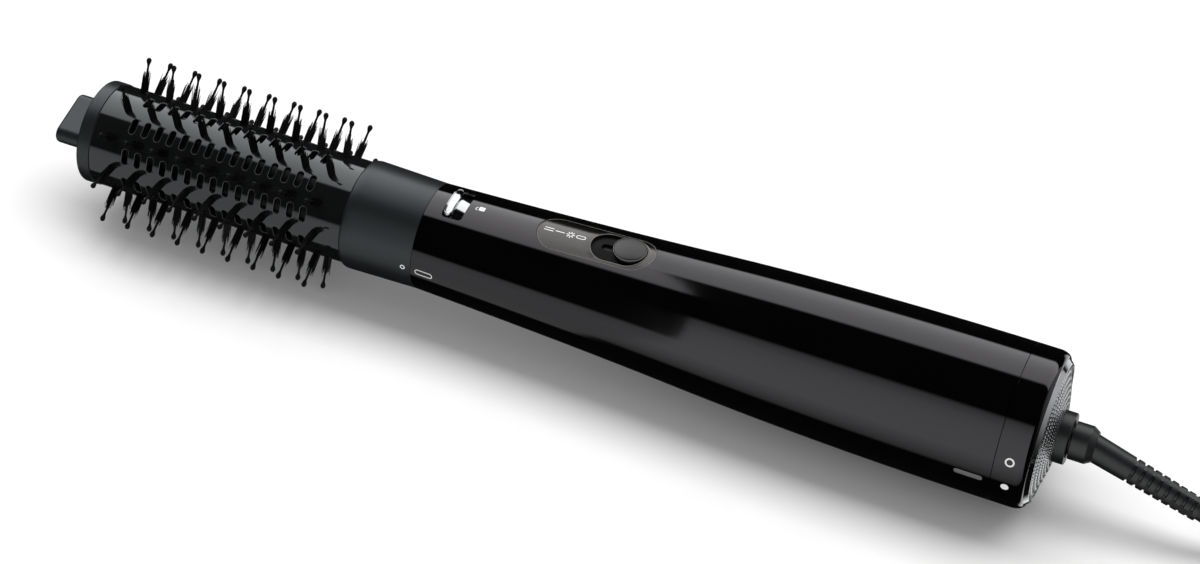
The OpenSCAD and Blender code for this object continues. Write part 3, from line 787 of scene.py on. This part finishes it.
def make_bristle_row(row):
    """Nine tufts on the strip that holds them inside the barrel."""
    chance = random.Random(40 + row)
    bm = bmesh.new()
    for k in range(TUFTS):
        tuft = bmesh.new()
        add_tuft(tuft, chance)
        tidy_mesh(tuft, 0.002)
        tuft.transform(Matrix.Translation((k * TUFT_PITCH, 0, 0)) @ Matrix.Rotation(k * TUFT_TWIST, 4, "Z"))
        add_shape(bm, tuft)
    box(bm, (-2, (TUFTS - 1) * TUFT_PITCH + 2), (-1.6, 1.6), (13.5, 15.45))
    for k in range(TUFTS):
        bmesh.ops.create_cone(bm, cap_ends=True, segments=16, radius1=1.18, radius2=1.18, depth=2,
                              matrix=Matrix.Translation((k * TUFT_PITCH, 0, 16.05)))
    bm.transform(Matrix.Rotation(-(ROW_TURN + ROW_STEP * row), 4, "X"))
    name = f"bristle_row_{row + 1:02d}"
    return piece(f"tufts_{row + 1:02d}", bm, "brush", "bristle_black", [name], even=False, sharp=60)


make_tip_grip()
make_tip_ring()
make_collar()
make_barrel()
for row in range(ROWS):
    make_bristle_row(row)


# --- Handle -----------------------------------------------------------------------------------
def stations(x0, x1, step):
    """Even places from x0 to x1, no more than a step apart."""
    count = math.ceil((x1 - x0) / step)
    return [x0 + (x1 - x0) * k / count for k in range(count + 1)]


def make_sleeve():
    """The one-piece glossy sleeve, open for the release slide and the switch plate."""
    along = stations(SEAM_X, FILTER_X, 4)
    outline = [(x, handle_radius(x)) for x in along]
    outline += [(x, handle_radius(x) - SLEEVE_WALL) for x in reversed(along)]
    bm = turned(outline, 224)
    soften(bm, 0.12, 2, 60)
    release = bmesh.new()
    box(release, RELEASE_X, (-RELEASE_HALF, RELEASE_HALF), (5, 30))
    corners = [e for e in release.edges if abs(e.verts[0].co.z - e.verts[1].co.z) > 1]
    rounded(release, corners, 1.2, 5)
    plate = stadium_prism(*PLATE_X, PLATE_HALF, 5, 30)
    made = piece("handle_skin", carved(bm, [release, plate]), "handle", "gloss_black",
                 ["handle_sleeve"], even=False)
    true_skin(made, handle_radius, handle_slope)
    return made


def on_handle(x, y, sink):
    """The height of the handle's skin, sunk by a depth, over a point."""
    return math.sqrt((handle_radius(x) - sink) ** 2 - y**2)


def sunk_ring(bm, x0, x1, half, sink):
    """The edges of a round-ended ring laid on the handle's skin and sunk by a depth."""
    verts, edges = stadium_ring(bm, x0, x1, half, 96)
    for v in verts:
        v.co.z = on_handle(v.co.x, v.co.y, sink)
    return edges


def make_plate():
    """The sunk switch plate: rings laid from its edge to the recess floor and the knob's slot."""
    x0, x1, half = PLATE_EDGE
    a0, a1 = RECESS_X
    face_depth, floor = PLATE_SINK, PLATE_SINK + RECESS_DEPTH
    slot_x = (KNOB_X - KNOB_TRAVEL - 2.0, KNOB_X + 2.0)

    def between(t):
        inner = (a0 - 0.2, a1 + 0.2, RECESS_HALF + 0.2)
        return [p + (q - p) * t for p, q in zip((x0 + 0.45, x1 - 0.45, half - 0.45), inner)]

    rings = [
        (x0, x1, half, PLATE_SINK + PLATE_WALL),
        (x0, x1, half, face_depth + 0.22),
        (x0 + 0.06, x1 - 0.06, half - 0.06, face_depth + 0.08),
        (x0 + 0.22, x1 - 0.22, half - 0.22, face_depth),
        *[(*between(t), face_depth) for t in (0, 0.12, 0.25, 0.4, 0.55, 0.7, 0.85, 1)],
        (a0 - 0.05, a1 + 0.05, RECESS_HALF + 0.05, face_depth + 0.06),
        (a0, a1, RECESS_HALF, face_depth + 0.2),
        (a0, a1, RECESS_HALF, floor - 0.15),
        (a0 + 0.15, a1 - 0.15, RECESS_HALF - 0.15, floor),
        (a0 + 1.5, a1 - 1.5, RECESS_HALF - 1.8, floor),
        (*slot_x, 1.35, floor),
        (slot_x[0] + 0.1, slot_x[1] - 0.1, 1.28, floor + 0.1),
        (slot_x[0] + 0.1, slot_x[1] - 0.1, 1.28, PLATE_SINK + PLATE_WALL),
    ]
    bm = bmesh.new()
    loops = [sunk_ring(bm, *ring) for ring in rings]
    bridge_all(bm, loops + loops[:1])
    tidy_mesh(bm, 0.0001)
    # Faces sunk below the plate's face get the darker finish: painted shade in the recess and the knob's
    # slot
    for face in bm.faces:
        middle = face.calc_center_median()
        if middle.yz.length < handle_radius(middle.x) - face_depth - 0.12:
            face.material_index = 1
    made = piece("switch_surround", bm, "handle", "plate_bronze", ["switch_plate"])
    made.data.materials.append(PAINTED_RECESS_SHADE)
    return made


def make_knob():
    """The round switch knob: a wide low dome with its stem, set in a thin light grey ring that is a painted
    highlight.
    """
    base = handle_radius(KNOB_X) - PLATE_SINK - RECESS_DEPTH + 0.35
    outline = [(0, 0), (0, 5.0), (0.12, 5.2), (0.4, KNOB_R), (1.25, KNOB_R), (1.5, 5.2), (1.62, 5.0),
               (1.72, 4.6), (1.84, 4.0), (1.98, 3.1), (2.08, 2.0), (2.13, 1.0), (2.15, 0)]
    bm = turned([(base + z, r) for z, r in outline], 72, closed=False, axis=(0, 0, 1),
                centre=(KNOB_X, 0, 0))
    box(bm, (KNOB_X - 1.8, KNOB_X + 1.8), (-1.2, 1.2), (18.4, base + 0.1))
    ring = turned([(base + 1.2, 5.22), (base + 1.2, 5.36), (base + 1.42, 5.34), (base + 1.44, 5.2)], 72,
                  axis=(0, 0, 1), centre=(KNOB_X, 0, 0))
    # This ring is a painted highlight: a light grey line round the knob's rim
    piece("knob_highlight_ring", ring, "switch", "chrome", material=PAINTED_EDGE_HIGHLIGHT)
    return piece("knob_dome", bm, "switch", "knob_black", ["switch_knob"])


def make_painted_plate_highlights():
    """Painted highlights: thin light grey lines round the switch plate and round its recess."""
    x0, x1, half = PLATE_EDGE
    line = 0.22
    for name, ends, wide, rise in (("plate_highlight_line", (x0, x1), half, 0.1),
                                   ("recess_highlight_line", RECESS_X, RECESS_HALF + 0.2, 0.03)):
        bm = bmesh.new()
        loops = [sunk_ring(bm, ends[0] + inset, ends[1] - inset, wide - inset, PLATE_SINK - lift)
                 for inset, lift in ((0, -0.12), (0, rise), (line, rise), (line, -0.12))]
        bridge_all(bm, loops + loops[:1])
        tidy_mesh(bm, 0.0001)
        piece(name, bm, "handle", "chrome", material=PAINTED_EDGE_HIGHLIGHT)


def crossed_ring(bm, x0, x1, half, inset, radius):
    """A round-ended outline that lies across the handle, radius high in its middle."""
    end = (x1 - x0) / 2 - inset
    straight = half - (x1 - x0) / 2
    outline = []
    for side in (1, -1):
        for k in range(13):
            a = math.pi * k / 12
            outline.append((end * math.cos(a) * side, (straight + end * math.sin(a)) * side))
        outline += [(-end * side, straight * side * (1 - k / 6)) for k in range(1, 12)]
    verts = [bm.verts.new(((x0 + x1) / 2 + x, y, radius - RIDGE_CROWN * y**2)) for x, y in outline]
    return closed_line(bm, verts)


def make_release():
    """The chromed release slide: a round-ended ridge on a ramp that runs back under the sleeve."""
    front = RELEASE_X[0] + 0.3
    outline = [(110.4, 15.55), (110.4, 15.85), (front, 15.85), (front, 17.2), (front + 0.3, 17.5),
               (front + 2.9, 17.6), (front + 3.6, 17.5), (front + 6.2, 16.75), (120.3, 16.3),
               (120.3, 15.55)]
    reach = math.asin((RELEASE_HALF - 0.3) / 17.6)
    bm = bmesh.new()
    verts = [bm.verts.new((x, 0, r)) for x, r in outline]
    face = bm.faces.new(verts)
    bmesh.ops.rotate(bm, verts=verts, cent=(0, 0, 0), matrix=Matrix.Rotation(reach, 3, "X"))
    bmesh.ops.spin(bm, geom=[face], axis=(1, 0, 0), cent=(0, 0, 0), angle=-2 * reach, steps=28,
                   use_merge=False, use_duplicate=False)
    tidy_mesh(bm)
    for v in bm.verts:
        if v.co.yz.length > 16:
            v.co.z -= RAMP_CROWN * v.co.y**2
    piece("release_ramp", bm, "release", "chrome", sharp=30)
    ridge = bmesh.new()
    loops = [crossed_ring(ridge, front, front + 3.1, RELEASE_HALF - 0.35, inset, radius)
             for inset, radius in ((0.1, 15.9), (0, 17.6), (0, 18.75), (0.08, 18.98), (0.25, 19.12),
                                   (0.42, 19.08), (0.5, 18.9), (0.62, 18.86), (0.9, 18.86), (1.3, 18.86))]
    for foot in {v for edge in loops[0] for v in edge.verts}:
        foot.co.z = 15.9
    bridge_all(ridge, loops)
    for ends in (loops[0], loops[-1]):
        bmesh.ops.triangle_fill(ridge, use_beauty=True, use_dissolve=False, edges=ends)
    tidy_mesh(ridge, 0.0001)
    return piece("release_ridge", ridge, "release", "chrome", ["release_button"], sharp=30)


make_sleeve()
make_plate()
make_painted_plate_highlights()
make_knob()
make_release()


# --- Rear of the handle -----------------------------------------------------------------------
def make_filter_ring():
    """The glossy ring that carries on the sleeve, its rear edge a wide round shoulder."""
    shoulder = [(309.4 + 3.6 * math.sin(a), 23.4 + 1.8 * math.cos(a))
                for a in (math.radians(7.5 * k) for k in range(13))]
    bm = turned([(302.72, 22.4), (302.72, 25.14), (302.8, 25.2), *shoulder, (311.5, 23.4),
                 (311.5, 22.4)], 224)
    return piece("filter_shell", bm, "filter_cap", "gloss_black", ["filter_ring"], sharp=30)


def make_filter_rim():
    """The chromed rim round the grille, with a painted highlight in front of it: a thin light grey line."""
    bm = turned([(311.6, 21.4), (311.6, 23.35), (313.0, 23.35), (314.4, 22), (314.4, 21.4)], 224)
    soften(bm, 0.12, 3, 30)
    line = turned([(311.5, 23.2), (311.5, 23.55), (311.75, 23.6), (311.85, 23.4), (311.85, 23.2)], 224)
    # A painted highlight along the rim's front edge
    piece("rim_highlight_line", line, "filter_cap", "chrome", material=PAINTED_RIM_HIGHLIGHT, sharp=30)
    return piece("filter_trim", bm, "filter_cap", "chrome", ["filter_rim"], sharp=30)


def make_grille():
    """The domed grille: a cell with one hole, turned round the axis for each of its rings."""
    dome_r, crown_x = 63.7, 317.5
    around = 84
    bands = 7
    low, high = 8.6, 21.35
    pitch = (high - low) / bands
    sheet = 0.8

    def dome(radius):
        return crown_x - (dome_r - math.sqrt(dome_r**2 - radius**2))

    half_angle = math.pi / around
    frame_points = [(-1, 0), (0, 0), (1, 0), (1, 0.5), (1, 1), (0, 1), (-1, 1), (-1, 0.5)]
    hole_points = [(-0.5, 0.22), (0, 0.1), (0.5, 0.22), (0.68, 0.5), (0.5, 0.78), (0, 0.9), (-0.5, 0.78),
                   (-0.68, 0.5)]
    bm = bmesh.new()
    for band in range(bands):
        base = low + band * pitch
        offset = half_angle if band % 2 else 0
        cell = bmesh.new()

        def corner(u, v):
            radius = base + v * pitch
            turn = offset + u * half_angle
            return cell.verts.new((dome(radius), radius * math.sin(turn), radius * math.cos(turn)))

        outer = [corner(u, v) for u, v in frame_points]
        inner = [corner(u, v) for u, v in hole_points]
        for k in range(8):
            cell.faces.new((outer[k], outer[(k + 1) % 8], inner[(k + 1) % 8], inner[k]))
        bmesh.ops.spin(cell, geom=everything(cell), axis=(1, 0, 0), cent=(0, 0, 0), angle=FULL_TURN,
                       steps=around, use_duplicate=True)
        add_shape(bm, cell)
    bmesh.ops.remove_doubles(bm, verts=bm.verts[:], dist=0.01)
    bmesh.ops.recalc_face_normals(bm, faces=bm.faces[:])
    back = bmesh.ops.extrude_face_region(bm, geom=bm.faces[:], use_keep_orig=True)["geom"]
    bmesh.ops.translate(bm, verts=verts_in(back), vec=(-sheet, 0, 0))
    bmesh.ops.recalc_face_normals(bm, faces=bm.faces[:])
    lips = [e for e in bm.edges if e.calc_face_angle(0) > 1
            and all(v.co.x > dome(v.co.yz.length) - 0.05 for v in e.verts)]
    rounded(bm, lips, 0.14, 1, clamp=True)
    return piece("grille_dome", bm, "filter_cap", "grille_steel", ["filter_grille"], even=False,
                 sharp=50)


def make_boss():
    """The fixed boss in the middle of the grille, bored for the lead's barrel."""
    bm = turned([(295, 6.3), (295, 8.2), (300, 8.2), (300, 12.4), (302, 12.4), (302, 8.2), (320.5, 8.2),
                 (320.5, 4.55), (299.2, 4.55), (299.2, 6.3)], 96)
    soften(bm, 0.45, 4, 60, where=lambda e: all(v.co.x > 320 and v.co.yz.length > 8 for v in e.verts))
    return piece("lead_boss", bm, "handle", "boss_black", ["cord_boss"])


def make_swivel():
    """The barrel that turns in the boss and carries the strain relief."""
    bm = turned([(295.5, 2), (295.5, 4.5), (296.6, 4.5), (296.6, 3.95), (297.4, 3.95), (297.4, 4.5),
                 (321.0, 4.5), (321.0, 6), (326.2, 6), (328.3, 4.75), (328.3, 2)], 96)
    soften(bm, 0.2, 3, 30, where=lambda e: all(v.co.x > 320.5 for v in e.verts))
    return piece("swivel_drum", bm, "lead", "boss_black", ["swivel_barrel"])


make_filter_ring()
make_filter_rim()
make_grille()
make_boss()
make_swivel()


# --- Printed marks ----------------------------------------------------------------------------
PRINT_LIFT = 0.012
PRINT_THICK = 0.035
ROUND_SEGMENTS = 36


def laid(bm, x, turn, radius_at):
    """Lays a flat mark, X along the handle and Y round it, on a turned skin."""
    low = Vector((min(v.co[i] for v in bm.verts) for i in range(2)))
    high = Vector((max(v.co[i] for v in bm.verts) for i in range(2)))
    for i, normal in ((0, (1, 0, 0)), (1, (0, 1, 0))):
        cuts = math.ceil((high[i] - low[i]) / 0.8)
        for k in range(1, cuts):
            at = [0, 0, 0]
            at[i] = low[i] + (high[i] - low[i]) * k / cuts
            bmesh.ops.bisect_plane(bm, geom=everything(bm), dist=0.0001, plane_co=at, plane_no=normal)
    bmesh.ops.recalc_face_normals(bm, faces=bm.faces[:])
    raised = bmesh.ops.extrude_face_region(bm, geom=bm.faces[:], use_keep_orig=True)["geom"]
    bmesh.ops.translate(bm, verts=verts_in(raised), vec=(0, 0, PRINT_THICK))
    for v in bm.verts:
        radius = radius_at(x + v.co.x) + PRINT_LIFT + v.co.z
        angle = math.radians(turn) + v.co.y / radius
        v.co = Vector((x + v.co.x, radius * math.sin(angle), radius * math.cos(angle)))
    bmesh.ops.recalc_face_normals(bm, faces=bm.faces[:])
    return bm


def disc(bm, radius, hole=0.0):
    """A filled disc, or a ring if it has a hole."""
    verts = bmesh.ops.create_circle(bm, cap_ends=not hole, segments=ROUND_SEGMENTS,
                                    radius=radius)["verts"]
    if hole:
        verts += bmesh.ops.create_circle(bm, cap_ends=False, segments=ROUND_SEGMENTS,
                                         radius=hole)["verts"]
        bmesh.ops.bridge_loops(bm, edges=edges_of(verts))


def stroke(bm, length, width, at=(0, 0), turn=0.0):
    """A straight printed stroke."""
    place = Matrix.Translation((*at, 0)) @ Matrix.Rotation(math.radians(turn), 4, "Z")
    size = Matrix.Diagonal((length, width, 1, 1))
    bmesh.ops.create_grid(bm, x_segments=1, y_segments=1, size=0.5, matrix=place @ size)


def stadium_mark(bm, length, width, line=0.0):
    """A round-ended mark, filled or drawn with a line."""
    _, outer = stadium_ring(bm, -length / 2, length / 2, width / 2, 32)
    if line:
        _, inner = stadium_ring(bm, -length / 2 + line, length / 2 - line, width / 2 - line, 32)
        bmesh.ops.bridge_loops(bm, edges=outer + inner)
    else:
        bmesh.ops.contextual_create(bm, geom=outer)


def plate_face(x):
    return handle_radius(x) - PLATE_SINK


def filter_face(x):
    return REAR_R


def collar_face(x):
    (x0, r0), (x1, r1) = COLLAR_WIDEST, COLLAR_END
    return r0 + (r1 - r0) * (x - x0) / (x1 - x0)


def make_mark(name, body, x, turn, radius_at, draw, material=WHITE_PRINT):
    """A mark as its drawing lays it out, printed at x and turned round the axis by degrees."""
    bm = bmesh.new()
    draw(bm)
    return piece(name, laid(bm, x, turn, radius_at), body, "chrome", material=material, even=False)


def draw_open_lock(bm):
    """An open padlock with a keyhole, its shackle towards the brush."""
    body = bmesh.new()
    box(body, (-0.2, 1.75), (-0.85, 0.85), (-0.1, 0.1))
    corners = [e for e in body.edges if abs(e.verts[0].co.z - e.verts[1].co.z) > 0.1]
    rounded(body, corners, 0.25, 3)
    rim = [e for e in body.edges if all(v.co.z > 0 for v in e.verts)]
    outline = [(v.co.x, v.co.y) for v in {v for e in rim for v in e.verts}]
    body.free()
    outline.sort(key=lambda c: math.atan2(c[1], c[0] - 0.78))
    verts = [bm.verts.new((x, y, 0)) for x, y in outline]
    edges = closed_line(bm, verts)
    keyhole = bmesh.ops.create_circle(bm, cap_ends=False, segments=16, radius=0.24,
                                      matrix=Matrix.Translation((0.7, 0, 0)))["verts"]
    bmesh.ops.triangle_fill(bm, use_beauty=True, use_dissolve=False, edges=edges + edges_of(keyhole))
    arch = bmesh.new()
    disc(arch, 0.72, hole=0.5)
    bmesh.ops.bisect_plane(arch, geom=everything(arch), dist=0.0001, plane_co=(0.1, 0, 0),
                           plane_no=(1, 0, 0), clear_outer=True)
    arch.transform(Matrix.Translation((-0.62, -0.3, 0)))
    add_shape(bm, arch)


def draw_fan(bm):
    """Eight short rays round an open middle."""
    for k in range(8):
        a = math.radians(45 * k)
        stroke(bm, 0.95, 0.28, at=(0.95 * math.cos(a), 0.95 * math.sin(a)), turn=45 * k)


def draw_high(bm):
    for side in (-0.52, 0.52):
        stroke(bm, 3.1, 0.3, at=(0, side))


make_mark("collar_ring_mark", "brush", 105.3, -88.4, collar_face, lambda bm: disc(bm, 0.85, hole=0.5))
make_mark("front_mark", "handle", 112.7, -88.7, handle_radius, lambda bm: stadium_mark(bm, 6.2, 2.0, 0.28))
make_mark("open_lock_mark", "handle", 124.1, 0, handle_radius, draw_open_lock)
make_mark("high_mark", "handle", 147.9, 0, plate_face, draw_high)
make_mark("low_mark", "handle", 151.6, 0, plate_face, lambda bm: stroke(bm, 3.1, 0.3))
make_mark("fan_mark", "handle", 155.2, 0, plate_face, draw_fan)
make_mark("off_mark", "handle", 158.7, 0, plate_face, lambda bm: stadium_mark(bm, 3.2, 1.5, 0.26))
make_mark("open_ring_mark", "filter_cap", 307.4, -73, filter_face, lambda bm: disc(bm, 1.5, hole=0.98))
make_mark("closed_dot_mark", "filter_cap", 307.4, -95.1, filter_face, lambda bm: disc(bm, 1.25))
make_mark("rear_mark", "handle", 295.9, -94.2, handle_radius, lambda bm: stadium_mark(bm, 9, 1.9),
          SILVER_PRINT)

# --- Finishes of the parts that keep their own shape ------------------------------------------
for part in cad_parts.values():
    if not part.hide_render:
        for holder in part.material_slots:
            plain_name = holder.material.name.split(".")[0] if holder.material else ""
            holder.material = FINISHES.get(plain_name, FINISHES["inner_black"])


# --- Studio -----------------------------------------------------------------------------------
def make_floor():
    bm = bmesh.new()
    bmesh.ops.create_grid(bm, x_segments=1, y_segments=1, size=6)
    mesh = mesh_of("studio_floor", bm)
    mesh.materials.append(finish("floor_white", grey(0.90), grey(0.93), 0.85, 0.05, 0.5, 0.0, ior=1.2))
    floor = put_in_scene("studio_floor", mesh)
    floor.visible_glossy = False


def key_light(name, turn, span, distance, length, radiance):
    """A long light parallel to the brush, for the floor. turn is its angle towards the back."""
    a = math.radians(turn)
    width = 2 * distance * math.tan(math.radians(span / 2))
    data = bpy.data.lights.new(name, "AREA")
    data.shape = "RECTANGLE"
    data.size = length
    data.size_y = width
    data.energy = radiance * math.pi * length * width
    light = put_in_scene(name, data)
    outward = Vector((0, math.sin(a), math.cos(a)))
    across = Vector((0, math.cos(a), -math.sin(a)))
    turn_to = Matrix((Vector((-1, 0, 0)), across, outward)).transposed().to_4x4()
    light.matrix_world = Matrix.Translation(outward * distance) @ turn_to
    light.visible_camera = False
    light.visible_glossy = False


def panel_finish():
    """A glowing panel: its strength is stored on its corners, so that it fades smoothly."""
    material = bpy.data.materials.new("studio_panel")
    material.use_nodes = True
    tree = material.node_tree
    tree.nodes.clear()
    glow = tree.nodes.new("ShaderNodeAttribute")
    glow.attribute_name = "glow"
    light = tree.nodes.new("ShaderNodeEmission")
    out = tree.nodes.new("ShaderNodeOutputMaterial")
    tree.links.new(glow.outputs["Fac"], light.inputs["Strength"])
    tree.links.new(light.outputs["Emission"], out.inputs["Surface"])
    material.cycles.emission_sampling = "NONE"
    return material


PANEL = panel_finish()
PANEL_REACH = 1.2


def panel(name, points, glows, columns):
    """A sheet of rows of points, each with its glow; it is seen in reflections only."""
    bm = bmesh.new()
    glow = bm.verts.layers.float.new("glow")
    verts = [bm.verts.new(p) for p in points]
    for v, value in zip(verts, glows):
        v[glow] = value
    rows = len(verts) // columns
    for r in range(rows - 1):
        for c in range(columns - 1):
            k = r * columns + c
            bm.faces.new((verts[k], verts[k + 1], verts[k + columns + 1], verts[k + columns]))
    mesh = mesh_of(name, bm)
    mesh.materials.append(PANEL)
    made = put_in_scene(name, mesh)
    made.visible_camera = False
    made.visible_diffuse = False
    made.visible_shadow = False
    made.visible_transmission = False


def ramp(stops, at):
    """The value at a place on a list of (place, value) stops."""
    for (a, low), (b, high) in zip(stops, stops[1:]):
        if at <= b:
            return low + (high - low) * max(0, (at - a) / (b - a))
    return stops[-1][1]


def arc_panel(name, around, along):
    """A panel bent round the brush; glow by angle towards the back, times glow by length."""
    points, glows = [], []
    low, high = around[0][0], around[-1][0]
    turns = [low + (high - low) * k / 60 for k in range(61)]
    places = [along[0][0] + (along[-1][0] - along[0][0]) * k / 12 for k in range(13)]
    for turn in turns:
        a = math.radians(turn)
        for x in places:
            points.append((x, PANEL_REACH * math.sin(a), AXIS_Z + PANEL_REACH * math.cos(a)))
            glows.append(ramp(around, turn) * ramp(along, x))
    panel(name, points, glows, len(places))


def end_panel():
    """An upright panel past the lead's end, for the bright side of the filter rim."""
    size = 13
    points, glows = [], []
    for r in range(size):
        z = -0.3 + 1.4 * r / (size - 1)
        for c in range(size):
            y = -0.3 + 1.6 * c / (size - 1)
            points.append((1.0, y, z))
            glows.append(ramp([(-0.25, 0), (0, 0.5), (0.4, 0.9), (1.3, 0.9)], y)
                         * ramp([(-0.25, 0), (0, 0.8), (0.8, 0.9), (1.1, 0)], z))
    panel("end_panel", points, glows, size)


make_floor()
key_light("key", turn=12, span=30, distance=1.6, length=2.6, radiance=3.6)
# The brush and the handle have panels of their own, which meet at one place along their length
PANELS_MEET = -0.385
HANDLE_SIDE = [(PANELS_MEET, 1), (1.0, 1)]
BRUSH_SIDE = [(-1.6, 1), (PANELS_MEET, 1)]
arc_panel("back_panel", [(17, 0), (20.5, 1.9), (40, 2.1), (60, 2.45), (64, 2.35), (67.5, 0)],
          HANDLE_SIDE)
arc_panel("front_panel", [(-139, 0), (-135, 0.38), (-120, 0.85), (-105, 1.25), (-88, 1.3), (-72, 1.25),
                          (-58, 1.1), (-46, 0.7), (-41, 0)], HANDLE_SIDE)
arc_panel("brush_back_panel", [(-9, 0), (-5, 1.7), (20, 2.3), (60, 2.9), (64, 2.8), (67.5, 0)],
          BRUSH_SIDE)
arc_panel("brush_front_panel",
          [(-150, 0), (-146, 0.6), (-120, 0.75), (-100, 0.85), (-88, 0.75), (-83, 0)], BRUSH_SIDE)
arc_panel("low_panel", [(96, 0), (104, 0.9), (130, 1.3), (160, 1.1), (172, 0)],
          [(0.30, 0), (0.36, 1.0), (1.1, 1.0)])
end_panel()

# Almost dark to reflections, softly bright on matt faces, and near white behind everything
world = bpy.data.worlds.new("studio")
world.use_nodes = True
nodes, links = world.node_tree.nodes, world.node_tree.links
surround = nodes["Background"]
surround.inputs["Color"].default_value = (1, 1, 1, 1)
surround.inputs["Strength"].default_value = 0.006
path = nodes.new("ShaderNodeLightPath")
last = surround
for ray, colour, strength in (("Is Diffuse Ray", (1, 1, 1, 1), 0.55),
                              ("Is Camera Ray", (0.97, 0.97, 0.97, 1), 1.0)):
    glow = nodes.new("ShaderNodeBackground")
    glow.inputs["Color"].default_value = colour
    glow.inputs["Strength"].default_value = strength
    pick = nodes.new("ShaderNodeMixShader")
    links.new(path.outputs[ray], pick.inputs["Fac"])
    links.new(last.outputs[0], pick.inputs[1])
    links.new(glow.outputs["Background"], pick.inputs[2])
    last = pick
links.new(last.outputs["Shader"], nodes["World Output"].inputs["Surface"])
world.cycles.sampling_method = "NONE"
bpy.context.scene.world = world
bpy.context.scene.view_settings.view_transform = "Standard"
